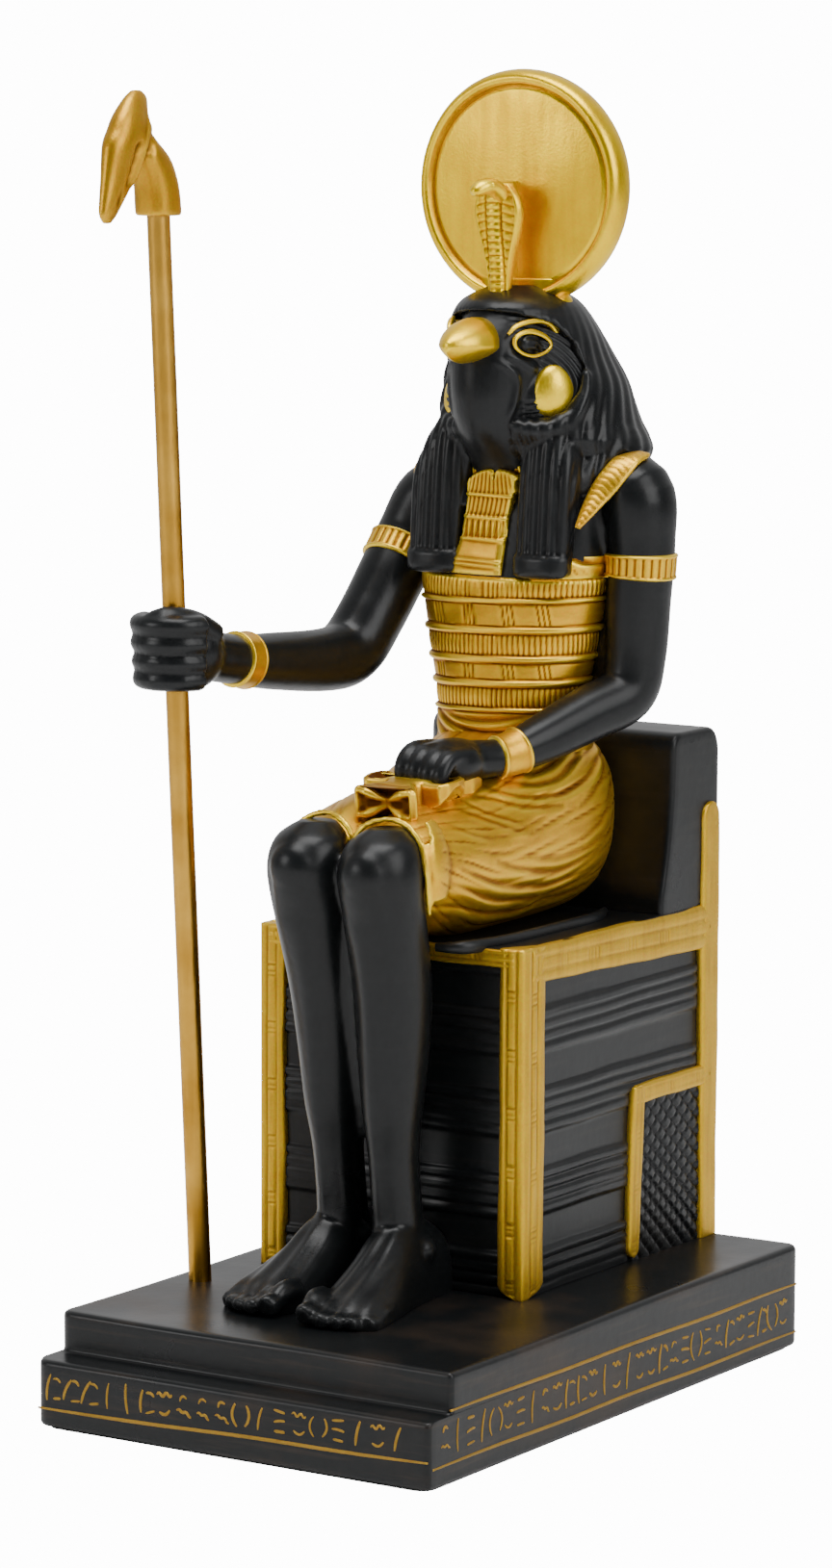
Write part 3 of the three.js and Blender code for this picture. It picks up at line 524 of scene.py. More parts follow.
def antiqued_and_shaded_gold_paint(name, tones, brush_scale, metal, roughness):
    """Gold paint full of brass flakes, brushed on and then wiped with a brown wash. The wash stays
    in the hollows, which are darkened further as painted shade, the ridges are rubbed bright, and
    the brush leaves fine streaks. The tones are the brown of the wash with painted shade, the gold
    with painted shade, the plain gold and the rubbed gold."""
    material, tree, place = new_material(name)
    hollow = add_node(tree, "ShaderNodeAttribute", attribute_name="hollow").outputs["Fac"]
    cloud = add_node(tree, "ShaderNodeTexNoise", {"Vector": place, "Scale": 130.0, "Detail": 5.0})
    flakes = add_node(tree, "ShaderNodeTexNoise", {"Vector": place, "Scale": 2400.0, "Detail": 2.0})
    brushed = add_node(tree, "ShaderNodeMapping", {"Vector": place, "Scale": brush_scale})
    brush = add_node(tree, "ShaderNodeTexNoise", {"Vector": brushed, "Scale": 1.0, "Detail": 5.0})
    spread = add_node(tree, "ShaderNodeMath", {0: cloud, 1: 0.09, 2: hollow}, operation="MULTIPLY_ADD")
    streaky = add_node(tree, "ShaderNodeMath", {0: brush, 1: 0.10, 2: spread}, operation="MULTIPLY_ADD")
    depth = add_node(tree, "ShaderNodeMapRange", {"Value": streaky, "From Min": -0.06, "From Max": 0.34})
    stain_and_shade, shaded, plain, rubbed = tones
    # brown wash and painted shade: the deeper a point lies in a hollow, the browner and darker its gold
    colour = add_node(tree, "ShaderNodeValToRGB", {"Fac": depth}, [
        (0.0, rubbed), (1.0, stain_and_shade), (0.34, plain), (0.55, shaded)])
    speckle = add_node(tree, "ShaderNodeMixRGB", {
        "Fac": 0.35, "Color1": colour, "Color2": flakes.outputs["Color"]}, blend_type="SOFT_LIGHT")
    dull = add_node(tree, "ShaderNodeMapRange", {
        "Value": depth, "From Min": 0.35, "From Max": 0.9, "To Min": roughness, "To Max": 0.7})
    relief = add_node(tree, "ShaderNodeMath", {0: brush, 1: 1.0, 2: flakes}, operation="MULTIPLY_ADD")
    grain = add_node(tree, "ShaderNodeBump", {"Height": relief, "Strength": 0.3, "Distance": 0.00012})
    paint = add_node(tree, "ShaderNodeBsdfPrincipled", {
        "Base Color": speckle, "Metallic": metal, "Roughness": dull, "Normal": grain})
    add_node(tree, "ShaderNodeOutputMaterial", {"Surface": paint})
    return material


fine_gilding = antiqued_and_shaded_gold_paint(
    "gold_paint_in_fine_lines", ("#3a2808", "#6a4c12", "#94701c", "#b48c30"), (300.0, 300.0, 300.0), 0.6, 0.5)
plinth_strokes = make_piece("plinth_strokes", plinth_gilding(), fine_gilding, reach=0.3)
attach(plinth_strokes, "root")
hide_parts("statue")

# Throne body
# The seat block of the same casting, black all round. Reeded bands of slats run level round its
# front and sides with plain sunk bands between them, carved by hand, so no line is quite straight.

THRONE_RIGHT = -30.9
THRONE_LEFT = 21.5
THRONE_FRONT = -5.3
THRONE_REAR = 58.7
SEAT_TOP = 76.3
STRIP_RELIEF = 0.7
PANEL_TOP = 10.2
BAND_PITCH = 13.5
SLAT_HEIGHT = 1.95
SLATS_IN_BAND = 4
BAND_RECESS = 0.5
SLAT_GROOVE = 0.42
REAR_POST_FRONT = 52.4
DOOR_FRONT = 28.9
DOOR_TOP = 48.4
THRONE_STEPS = (52, 42)
THRONE_ROW = 0.33


def soft_step(distance, width):
    """0 below and 1 above, with a smooth ramp of the given width about zero: the tanh curve."""
    return 0.5 + 0.5 * np.tanh(distance / width)


def dent(distance, width):
    """A bell-shaped groove of depth 1 on the line where the distance is zero."""
    return np.exp(-(distance / width) ** 2)


def between(value, low, high, width):
    """1 from low to high and 0 beyond, with a soft step at each of the two."""
    return soft_step(value - low, width) * soft_step(high - value, width)


def to_line(places, pitch=1.0):
    """The signed distance to the nearest of many lines, for places counted in steps of their
    pitch: what is left over when each place is rounded to a whole step."""
    return (places - np.round(places)) * pitch


def ring_normals(ring):
    """Unit normals of closed rings in their own plane, square to the chord from each point's last
    neighbour to its next. They point out of a ring that runs anticlockwise."""
    ahead = unit(np.roll(ring, -1, -2) - np.roll(ring, 1, -2))
    return np.stack([ahead[..., 1], -ahead[..., 0]], -1)


def slat_relief(along, z):
    """The carving's height: within a band, rounded slats with a groove between each two and a
    finer scratch here and there, and below the band a flat that lies deeper."""
    band = np.floor((SEAT_TOP - PANEL_TOP - z) / BAND_PITCH)
    waver = 0.09 * np.sin(along / 8.3 + 1.7 * band) + 0.05 * np.sin(along / 3.1 + 2.3 * band)
    below = SEAT_TOP - PANEL_TOP - z + waver
    band = np.floor(below / BAND_PITCH)
    down = below - band * BAND_PITCH
    reeded = SLATS_IN_BAND * SLAT_HEIGHT
    inside = between(down, 0.15, reeded, 0.16)
    slat = down / SLAT_HEIGHT + 0.1 * np.sin(along / 14 + 2.1 * band)
    to_groove = to_line(slat, SLAT_HEIGHT)
    uneven = 0.75 + 0.35 * np.sin(along / 21 + 1.3 * np.round(slat) + band)
    to_scratch = (slat - np.floor(slat) - 0.5) * SLAT_HEIGHT + 0.2 * np.sin(along / 6)
    scratch = 0.1 * dent(to_scratch, 0.16) * (np.sin(along / 11 + 3 * np.floor(slat) + band) > 0.1)
    carved = -SLAT_GROOVE * uneven * dent(to_groove, 0.3) - scratch
    return inside * carved - BAND_RECESS * (1 - inside)


def throne_body_shell():
    """Level rings round the block, each point pushed out along its face by the slats' relief."""
    x0, x1 = THRONE_RIGHT + STRIP_RELIEF, THRONE_LEFT - STRIP_RELIEF
    front = THRONE_FRONT + STRIP_RELIEF
    ring = rounded_ring(x0, x1, front, THRONE_REAR, 0, [0.5] * 4, THRONE_STEPS)[:, :2]
    out_x, out_y = ring_normals(ring).T
    x, y = ring.T
    z = np.arange(PLINTH_TOP - 0.5, SEAT_TOP - 0.6, THRONE_ROW)[:, None]
    along = np.where(np.abs(out_y) > 0.7, x, y + 70)
    lift = slat_relief(along, z)
    carved = (y < REAR_POST_FRONT) & ~((y > DOOR_FRONT + 1.5) & (z < DOOR_TOP - 1))
    lift = np.where(carved, lift, -0.6 * (y < THRONE_REAR - 0.6))
    return lofted(np.stack([x + out_x * lift, y + out_y * lift, z + 0 * x], -1))


throne_enamel = rubbed_black_enamel("rubbed_black_enamel_on_throne", "#2a2622", 0.25)
throne_body = make_piece("throne_body", throne_body_shell(), throne_enamel, reach=0.8)
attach(throne_body, "root")
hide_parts("statue")

# Lattice panels
# The panel inside each small door's frame, carved in the casting and painted black. Two sets of
# slanting cuts cross it, the ones that fall towards the back deep and the others shallow, which
# leaves a skin of little diamonds.

LATTICE_FRONT = 31.4
LATTICE_TOP = 46.2
LATTICE_SLOPE = 0.86
LATTICE_PITCH = 3.15
DEEP_CUT = 0.45
FINE_CUT = 0.26
LATTICE_STEP = 0.3
NO_TRIANGLES = np.empty((0, 3), int)


def flat_plate(along, up, lift, on_face, sink=1.2):
    """A closed plate: its face is the lifted grid, and its rim runs straight down to a flat back."""
    face = on_face(along, up, lift)
    back = on_face(along, up, np.full_like(lift, -sink))
    rows, columns = lift.shape
    points = np.concatenate([face.reshape(-1, 3), back.reshape(-1, 3)])
    corner = (np.arange(rows - 1)[:, None] * columns + np.arange(columns - 1)).ravel()
    cell = np.stack([corner, corner + 1, corner + columns + 1, corner + columns], 1)
    edge = np.concatenate([
        np.arange(columns), np.arange(1, rows) * columns + columns - 1,
        (rows - 1) * columns + np.arange(columns - 2, -1, -1), np.arange(rows - 2, 0, -1) * columns])
    ahead = np.roll(edge, -1)
    size = rows * columns
    rim = np.stack([edge, edge + size, ahead + size, ahead], 1)
    quads = np.concatenate([cell, cell[:, ::-1] + size, rim])
    return points, quads, NO_TRIANGLES


on_throne_left = upright_face(0, THRONE_LEFT - STRIP_RELIEF, 1)
on_throne_right = upright_face(0, THRONE_RIGHT + STRIP_RELIEF, -1)
on_throne_front = upright_face(1, THRONE_FRONT + STRIP_RELIEF, -1)


def lattice_shell(on_face):
    """Two families of parallel dents across a plate: each depends on the height plus or minus
    the slope times the way along, folded to the nearest line of its family."""
    along, up = np.meshgrid(np.arange(LATTICE_FRONT, REAR_POST_FRONT + 1.2, LATTICE_STEP),
                            np.arange(PLINTH_TOP - 0.3, LATTICE_TOP, LATTICE_STEP))
    squeeze = LATTICE_PITCH / math.hypot(1, LATTICE_SLOPE)
    falling = (up + LATTICE_SLOPE * along + 0.3 * np.sin(up / 5)) / LATTICE_PITCH
    rising = (up - 1.05 * LATTICE_SLOPE * along + 0.25 * np.sin(along / 4)) / LATTICE_PITCH
    deep = dent(to_line(falling, squeeze), 0.34)
    fine = dent(to_line(rising, squeeze), 0.24)
    return flat_plate(along, up, 0.05 - DEEP_CUT * deep - FINE_CUT * fine, on_face)


lattice_panels = make_piece(
    "lattice_panels", joined([lattice_shell(on_throne_left), lattice_shell(on_throne_right)]),
    throne_enamel, reach=0.8)
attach(lattice_panels, "root")
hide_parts("statue")

# Gold strips of the throne
# Raised flat strips at the corners, along the seat and round the doors, cut with a ladder of
# fine lines. They are painted with a flat gold by hand, so their edges wander a little.

POST_WIDTH = 5.0
POST_DEPTH = 7.2
POST_FOOT = 19.2
FRONT_RAIL = 3.2
SIDE_RAIL = 5.6
SIDE_RAIL_DROP = 2.4
REAR_POST_WIDTH = 5.6
REAR_POST_RISE = 17.6
DOOR_STRIP = 3.6
DOOR_LEAN = 1.7
LADDER_PITCH = 9.7
LADDER_RUNGS = 3.0
RUNG_PITCH = 0.95
LADDER_HALF = 0.95
INCISED = 0.26
PAINT_WANDER = 0.09
STRIP_SINK = 0.9
CORNER_BEND = 0.35
STRIP_STEP = 0.4
POST_STEP = 0.36


def ladder(along, across):
    """Incised work in the middle of a strip: two long lines, closed by groups of short rungs."""
    rails = dent(np.abs(across) - LADDER_HALF, 0.2)
    way = np.mod(along, LADDER_PITCH)
    in_group = (way < LADDER_RUNGS) & (np.abs(across) < LADDER_HALF)
    to_rung = np.mod(way + RUNG_PITCH / 2, RUNG_PITCH) - RUNG_PITCH / 2
    return -INCISED * np.maximum(rails, in_group * dent(to_rung, 0.2))


def wander(along, phase):
    """How far a hand-painted edge strays: three slow waves of unlike length."""
    return PAINT_WANDER * (np.sin(along / 4.9 + phase) + 0.5 * np.sin(along / 1.9 + 2 * phase)
                           + 1.2 * np.sin(along / 11.3 + 3 * phase))


def worn_ladder(along, across):
    """The side rail's ladder, half rubbed away and stretched a little here and there."""
    return 0.5 * ladder(along + 2 * np.sin(along / 9), across * 0.8)


def fine_ladder(along, across):
    """The door frame's ladder, which is narrower and shallow."""
    return 0.35 * ladder(along, across * 1.1)


def front_ladder(along, across):
    """The front rail's ladder, cut narrow enough to fit it."""
    return ladder(along - 1.0, across * 1.3)


def way_along(path):
    """Each point's distance from the path's start, measured along it."""
    return np.concatenate([[0], np.linalg.norm(np.diff(path, axis=0), axis=1).cumsum()])


def strip_shell(path, half_width, on_face, phase, relief=None, ends=(0.0, 0.0)):
    """A strip along a path on a face: its section is nearly flat with rounded shoulders, and its
    ends narrow as quarter circles of the given lengths."""
    path = np.asarray(path, float)
    half_width = np.broadcast_to(half_width, len(path)).astype(float)
    way = way_along(path)
    fine = np.unique(np.concatenate([
        np.arange(0, way[-1], STRIP_STEP), [way[-1]], ends[0] * (1 - np.cos(np.linspace(0, 1.5, 7))),
        way[-1] - ends[1] * (1 - np.cos(np.linspace(0, 1.5, 7)))]).clip(0, way[-1]).round(4))
    centre = np.stack([np.interp(fine, way, path[:, k]) for k in (0, 1)], 1)
    ahead = unit(np.gradient(centre, fine, axis=0))
    width = np.interp(fine, way, half_width)
    for reach, distance in ((ends[0], fine), (ends[1], way[-1] - fine)):
        if reach:
            width = width * np.sqrt(1 - (1 - np.clip(distance / reach, 0.02, 1)) ** 2)
    v = np.sin(np.linspace(-1, 1, int(np.clip(half_width.max() * 6, 12, 34))) * math.pi / 2)
    left = width + wander(fine, phase)
    right = width + wander(fine, phase + 2)
    across = np.where(v[None] < 0, v[None] * left[:, None], v[None] * right[:, None])
    lift = STRIP_RELIEF * (1 - np.abs(v[None]) ** 9) ** 0.5 + 0 * across
    if relief is not None:
        lift = lift + relief(fine[:, None], across)
    return ridge_skin(centre, ahead, *closed_section(across, lift, STRIP_SINK), on_face)


def corner_post_shell(side):
    """A post wrapped round a front corner: its plan is two faces joined by a tight hyperbola, and
    both faces carry the ladder. Its foot narrows to a blunt point at the corner."""
    corner = THRONE_LEFT if side > 0 else THRONE_RIGHT
    heights = np.arange(POST_FOOT - 1.2, SEAT_TOP + 0.15, POST_STEP)
    v = np.sin(np.linspace(-1, 1, 46) * math.pi / 2)
    foot = np.sqrt(1 - (1 - np.clip((heights - POST_FOOT + 1.2) / 2.4, 0.03, 1)) ** 2)
    front = (POST_WIDTH + wander(heights, 1.0 + side)) * foot
    back = (POST_DEPTH + wander(heights, 4.0 + side)) * foot
    way = np.where(v[None] < 0, v[None] * front[:, None], v[None] * back[:, None])
    lift = STRIP_RELIEF * (1 - np.abs(v[None]) ** 12) ** 0.5 + 0 * way
    rise = heights[:, None] - PLINTH_TOP
    lift += ladder(rise, way + POST_WIDTH / 2) + 0.8 * ladder(rise + 0.6, way - POST_DEPTH / 2)
    lift -= 0.1 * dent(way - 1.0, 0.3)
    way, lift = closed_section(way, lift, STRIP_SINK)
    bend = np.sqrt(way ** 2 + CORNER_BEND)
    inward, behind = (way - bend) / 2, (way + bend) / 2
    facing_side = np.clip(behind / (behind - inward), 0, 1)
    push = lift - STRIP_RELIEF
    x = corner + side * (inward + facing_side ** 0.5 * push)
    y = THRONE_FRONT + behind - (1 - facing_side) ** 0.5 * push
    return lofted(np.stack([x, y, np.broadcast_to(heights[:, None], x.shape)], -1))


def side_strips(on_face, phase):
    """One side: the rail along the seat, the tall rear post, and the door's frame."""
    post = THRONE_REAR - REAR_POST_WIDTH / 2
    middle_front = SEAT_TOP - SIDE_RAIL / 2
    middle_rear = middle_front - SIDE_RAIL_DROP / 2
    frame_foot = DOOR_FRONT + DOOR_STRIP / 2
    frame_top = DOOR_TOP - DOOR_STRIP / 2
    return [
        strip_shell([(THRONE_FRONT + 3, middle_front), (post, middle_rear)],
                    [SIDE_RAIL / 2, (SIDE_RAIL + SIDE_RAIL_DROP) / 2], on_face, phase, worn_ladder),
        strip_shell([(post, PLINTH_TOP - 0.3), (post, SEAT_TOP + REAR_POST_RISE)],
                    REAR_POST_WIDTH / 2, on_face, phase + 1, None, (0.0, 2.6)),
        strip_shell([(frame_foot, POST_FOOT - 0.4), (frame_foot + DOOR_LEAN, frame_top + 1.6)],
                    DOOR_STRIP / 2, on_face, phase + 2, fine_ladder, (1.8, 0.5)),
        strip_shell([(frame_foot + DOOR_LEAN - 1.4, frame_top), (post, frame_top)],
                    DOOR_STRIP / 2, on_face, phase + 3, fine_ladder, (0.5, 0.0)),
    ]


def throne_strips_shell():
    """Both corner posts, the front rail between them, and the strips of both sides."""
    level = SEAT_TOP - FRONT_RAIL / 2
    rail = strip_shell([(THRONE_RIGHT + 2, level), (THRONE_LEFT - 2, level)],
                       FRONT_RAIL / 2, on_throne_front, 0.7, front_ladder)
    return joined([
        corner_post_shell(1), corner_post_shell(-1), rail,
        *side_strips(on_throne_left, 0.2), *side_strips(on_throne_right, 5.1),
    ])


strip_gilding = antiqued_and_shaded_gold_paint(
    "flat_gold_paint_on_strips", ("#68460a", "#a47a14", "#c89e1e", "#dcb434"),
    (900.0, 900.0, 90.0), 0.8, 0.42)
throne_strips = make_piece("throne_strips", throne_strips_shell(), strip_gilding, reach=0.5)
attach(throne_strips, "root")
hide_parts("statue")

# Seat and backrest
# The black slab of the seat, and the low back that curves forward as it meets it. Both are part
# of the casting; their edges are rounded by the mould and rubbed by handling.

SEAT_THICKNESS = 2.2
BACK_THICKNESS = 15.1
BACK_RISE = 30.4
BACK_OVERHANG = 0.5
BACK_FLARE = 3.6
BACK_EDGE = 0.9
BLUNT_REACH = 5.5
BLUNT_DEPTH = 5.0
SEAT_STEPS = (42, 34)
BACK_SPACING = 0.9
BACK_STEP = 0.8


def seat_shell():
    """Level rings of the slab: upright sides, a rounded edge, and a top that sags a hair."""
    turn = np.linspace(0, math.pi / 2, 5)
    rows = [(0.3, SEAT_TOP - SEAT_THICKNESS), (0.3, SEAT_TOP - 1.2)]
    rows += [(0.3 + 0.6 * (1 - math.cos(t)), SEAT_TOP - 0.6 * (1 - math.sin(t))) for t in turn]
    rows += [(inset, SEAT_TOP - 0.02 * min(inset, 3)) for inset in (1.6, 3.0, 6.0, 11.0, 18.0, 24.0)]
    return lofted(np.array([
        rounded_ring(THRONE_RIGHT + inset, THRONE_LEFT - inset, THRONE_FRONT + inset,
                     THRONE_REAR - min(inset, 1.0), z, [0.5] * 4, SEAT_STEPS)
        for inset, z in rows]))


def evenly(outline, spacing):
    """A closed outline with its points spaced evenly: lengths along it are cut in equal steps."""
    closed = np.concatenate([outline, outline[:1]])
    way = way_along(closed)
    steps = np.linspace(0, way[-1], max(int(way[-1] / spacing), 8), endpoint=False)
    return np.stack([np.interp(steps, way, closed[:, k]) for k in range(closed.shape[1])], 1)


def thick_plate(outline, x0, x1, edge):
    """An outline in the Y-Z plane carried along X, with both rims rounded as quarter circles:
    there the outline shrinks along its normals. Each end is closed by a ladder of quads from the
    outline's first half to its second."""
    turning = (outline[:, 0] * np.roll(outline[:, 1], -1) - np.roll(outline[:, 0], -1) * outline[:, 1]).sum()
    inward = -ring_normals(outline) * np.sign(turning)
    turn = np.linspace(0, math.pi / 2, 6)
    rim = [(edge + 1.2, 0.0)] + [(edge * (1 - math.sin(t)), edge * (1 - math.cos(t))) for t in turn]
    rows = [(inset, x0 + step) for inset, step in rim]
    rows += [(0.0, x) for x in np.arange(x0 + edge + 0.5, x1 - edge - 0.3, BACK_STEP)]
    rows += [(inset, x1 - step) for inset, step in reversed(rim)]
    grid = np.array([np.column_stack([np.full(len(outline), x), outline + inset * inward])
                     for inset, x in rows])
    points, quads, _ = lofted(grid)
    count = len(outline)
    near = np.arange(count // 2 - 1)
    cap = np.stack([near, near + 1, count - 2 - near, count - 1 - near], 1)
    far = cap + (len(rows) - 1) * count
    return points[:-2], np.concatenate([quads, cap[:, ::-1], far]), NO_TRIANGLES


def back_outline():
    """Upright behind, rounded over the top, and in front a parabola that comes forward as it falls.
    It starts in the middle of the hidden foot."""
    rear = THRONE_REAR + BACK_OVERHANG
    front = THRONE_REAR - BACK_THICKNESS
    top = SEAT_TOP + BACK_RISE
    turn = np.linspace(0, math.pi / 2, 12)
    crown = np.stack([rear - 3.2 + 3.2 * np.cos(turn), top - 4.4 + 4.4 * np.sin(turn)], 1)
    brow = np.stack([front + 2.6 - 2.6 * np.sin(turn[:-1]), top - 2.6 + 2.6 * np.cos(turn[:-1])], 1)
    t = np.linspace(0, 1, 20)
    face = np.stack([front - BACK_FLARE * t ** 2, top - 2.6 - (BACK_RISE - 5.6) * t], 1)
    return evenly(np.concatenate([
        [((front + rear) / 2, SEAT_TOP - 4.1), (rear, SEAT_TOP - 3)], crown, brow, face,
        [(front - BACK_FLARE - 0.4, SEAT_TOP - 3)]]), BACK_SPACING)


def back_shell():
    """The outline carried across the throne. Behind the sitter's right hip the front corner was
    left blunt: there the face falls back as a parabola."""
    plate = thick_plate(
        back_outline(), THRONE_RIGHT + STRIP_RELIEF, THRONE_LEFT - STRIP_RELIEF, BACK_EDGE)
    x, y, z = plate[0].T
    past = np.clip((THRONE_RIGHT + BLUNT_REACH - x) / BLUNT_REACH, 0, 1)
    ahead = np.clip((THRONE_REAR - y) / BACK_THICKNESS, 0, 1) * soft_step(z - SEAT_TOP - 3, 2.0)
    return np.stack([x, y + BLUNT_DEPTH * past ** 2 * ahead, z], 1), plate[1], plate[2]


throne_seat = make_piece("throne_seat", seat_shell(), throne_enamel)
throne_back = make_piece("throne_back", back_shell(), throne_enamel)
for slab in (throne_seat, throne_back):
    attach(slab, "root")
    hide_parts("statue")

# Legs and feet
# Bare legs in one with the casting, sprayed satin black and left smooth. The right foot stands a
# little inward and back of the left one's mirror image, and a web of resin ties the calves.

SITTER_X = -3.7
LEG_ROWS = [
    # height, x, y, half width, half depth
    (4.5, 7.0, -8.8, 4.5, 6.2), (8, 7.0, -9.0, 4.2, 5.5), (14, 6.9, -9.4, 3.9, 4.9),
    (24, 6.8, -10.4, 3.9, 4.9), (32, 6.9, -11.0, 4.7, 5.7), (41, 7.0, -10.9, 5.5, 6.6),
    (50, 7.3, -11.4, 6.0, 7.1), (58, 7.5, -13.0, 6.3, 7.3), (66, 7.6, -15.1, 6.8, 7.2),
    (72, 7.6, -15.8, 7.0, 7.1), (76.4, 7.6, -15.0, 5.9, 6.0), (78.9, 7.6, -13.6, 2.8, 3.2),
]
FOOT_ROWS = [
    # y, x, half width, height
    (3.4, 6.9, 2.4, 5.5), (1.6, 6.9, 4.0, 9.5), (-2, 7.0, 4.7, 12.0), (-8, 7.3, 5.0, 14.5),
    (-14, 7.9, 5.3, 12.8), (-19, 8.6, 5.8, 9.4), (-24, 9.3, 6.3, 6.6), (-28.5, 9.9, 6.6, 4.6),
    (-30.8, 10.1, 6.2, 3.2), (-31.8, 10.2, 4.6, 1.8),
]
TOE_ROWS = [
    # x, y of the tip, radius
    (5.2, -35.2, 2.0), (8.3, -35.4, 1.45), (10.9, -34.9, 1.35), (13.3, -33.8, 1.3), (15.4, -31.6, 1.25),
]
WEB_ROWS = [
    # height, x, y, half width, half depth
    (26, 0.4, -4, 2.2, 5.0), (36, 0.4, -5, 4.6, 6.4), (50, 0.2, -6, 6.6, 7.6), (66, 0, -6.6, 7.6, 8.6),
    (73, 0, -6.2, 7.6, 8.0),
]
KNEE_LEVEL = 73.0
RIGHT_KNEE_SHIFT = (0.7, 1.0)
RIGHT_FOOT_SHIFT = (2.0, 2.0)
SHIN_CENTRES = (7.3, -6.0)
LIMB_VOXEL = 0.55


def sitter(points):
    """Places given from the figure's midplane, the throne's front and the plinth's top, as places
    in the whole object."""
    return points + np.array([SITTER_X, THRONE_FRONT, PLINTH_TOP])


def power(value, exponent):
    """A power that keeps the sign."""
    return np.sign(value) * np.abs(value) ** exponent


def eased(rows, steps=6):
    """Rows of numbers joined by Catmull-Rom cubics, with several steps from row to row."""
    rows = np.asarray(rows, float)
    a, b = rows[:-1, None], rows[1:, None]
    before = np.concatenate([rows[:1], rows[:-2]])[:, None]
    after = np.concatenate([rows[2:], rows[-1:]])[:, None]
    t = (np.arange(steps) / steps)[None, :, None]
    slope_a, slope_b = (b - before) / 2, (after - a) / 2
    cubic = a + slope_a * t + (3 * (b - a) - 2 * slope_a - slope_b) * t ** 2 \
        + (2 * (a - b) + slope_a + slope_b) * t ** 3
    return np.concatenate([cubic.reshape(-1, rows.shape[1]), rows[-1:]])


def full_turn(count):
    """Angles spaced evenly round a circle, from zero on."""
    return np.linspace(0, 2 * math.pi, count, endpoint=False)


def stack(rows, sides=48, squareness=2.0, steps=6):
    """Level sections of (height, x, y, half width, half depth): each is a superellipse, squarer as
    the squareness grows, and the sections are eased from row to row."""
    z, x, y, a, b = eased(rows, steps).T[..., None]
    turn = full_turn(sides)
    p = 2 / squareness
    return np.stack([x + a * power(np.cos(turn), p), y + b * power(np.sin(turn), p), z + 0 * (x + turn)], -1)


def limb(rows, sides=20, steps=6, flatten=1.0, reference=(1, 0, 0), swell=None):
    """Round sections across a path of (x, y, z, radius): each circle stands square to the path,
    with its first axis as near the reference as that allows. Swell adds to the radius."""
    path = eased(rows, steps)
    centre = path[:, :3]
    along = unit(np.gradient(centre, axis=0))
    reference = np.asarray(reference, float)
    across = unit(reference - along * (along @ reference)[:, None])
    up = np.cross(across, along)
    turn = full_turn(sides)[None, :, None]
    radius = path[:, 3][:, None, None]
    if swell is not None:
        radius = radius + swell(way_along(centre)[:, None], turn[..., 0])[..., None]
    return centre[:, None] + radius * (across[:, None] * np.cos(turn) + flatten * up[:, None] * np.sin(turn))


def ball(x, y, z, a, b, c, segments=24):
    """An ellipsoid: level circles whose radius is the cosine of the rise and height its sine."""
    rise = np.linspace(-math.pi / 2, math.pi / 2, segments // 2 + 1)[1:-1, None]
    turn = full_turn(segments)
    return np.stack([x + a * np.cos(rise) * np.cos(turn), y + b * np.cos(rise) * np.sin(turn),
                     z + c * np.sin(rise) + 0 * turn], -1)


def cast_skin(grids, voxel, smoothing):
    """One skin over overlapping forms, as a casting has. They are filled with cubes of the voxel's
    size, whose surface is kept and smoothed. Returns the points in millimetres and the faces."""
    rough_mesh = mesh_of("rough_forms", joined([lofted(grid) for grid in grids]))
    rough = add_object("rough_forms", rough_mesh)
    cells = rough.modifiers.new("cells", "REMESH")
    cells.mode = "VOXEL"
    cells.voxel_size = voxel * MM
    ease = rough.modifiers.new("ease", "SMOOTH")
    ease.factor = 0.5
    ease.iterations = smoothing
    evaluated = rough.evaluated_get(bpy.context.evaluated_depsgraph_get())
    skin = evaluated.to_mesh()
    points = read_values(skin.vertices, "co", 3) / MM
    totals = np.empty(len(skin.polygons), np.int32)
    starts = np.empty(len(skin.polygons), np.int32)
    corners = np.empty(len(skin.loops), np.int32)
    skin.polygons.foreach_get("loop_total", totals)
    skin.polygons.foreach_get("loop_start", starts)
    skin.loops.foreach_get("vertex_index", corners)
    quads = corners[starts[totals == 4][:, None] + np.arange(4)]
    triangles = corners[starts[totals == 3][:, None] + np.arange(3)]
    evaluated.to_mesh_clear()
    bpy.data.objects.remove(rough)
    bpy.data.meshes.remove(rough_mesh)
    return outward((points, quads, triangles))


def skin_normals(shell):
    """Unit normals at a shell's points: the sum of the cross products of their faces' diagonals."""
    points, quads, triangles = shell
    a, b, c, d = points[quads.T]
    quad_normals = np.cross(c - a, d - b)
    fan_normals = np.cross(points[triangles[:, 1]] - points[triangles[:, 0]],
                           points[triangles[:, 2]] - points[triangles[:, 0]])
    corners = np.concatenate([quads.ravel(), triangles.ravel()])
    faces = np.concatenate([np.repeat(quad_normals, 4, 0), np.repeat(fan_normals, 3, 0)])
    total = np.stack([np.bincount(corners, faces[:, k], len(points)) for k in range(3)], 1)
    return total / np.maximum(np.linalg.norm(total, axis=1, keepdims=True), 1e-9)


def carved(shell, relief):
    """The shell with each point moved along its normal by the relief there."""
    points, quads, triangles = shell
    normals = skin_normals(shell)
    return points + normals * relief(points, normals)[:, None], quads, triangles


def placed(shell):
    """A shell in the figure's measure set in its place on the throne."""
    return sitter(shell[0]), shell[1], shell[2]


def foot_grid():
    """Upright arches from the heel to the ball of the foot: power curves above, flat below."""
    y, x, a, h = eased(FOOT_ROWS, 5).T[..., None]
    turn = full_turn(40)
    up = power(np.sin(turn), 0.75)
    return np.stack([x + a * power(np.cos(turn), 0.8), y + 0 * turn, np.where(up < 0, -0.5, h * up)], -1)


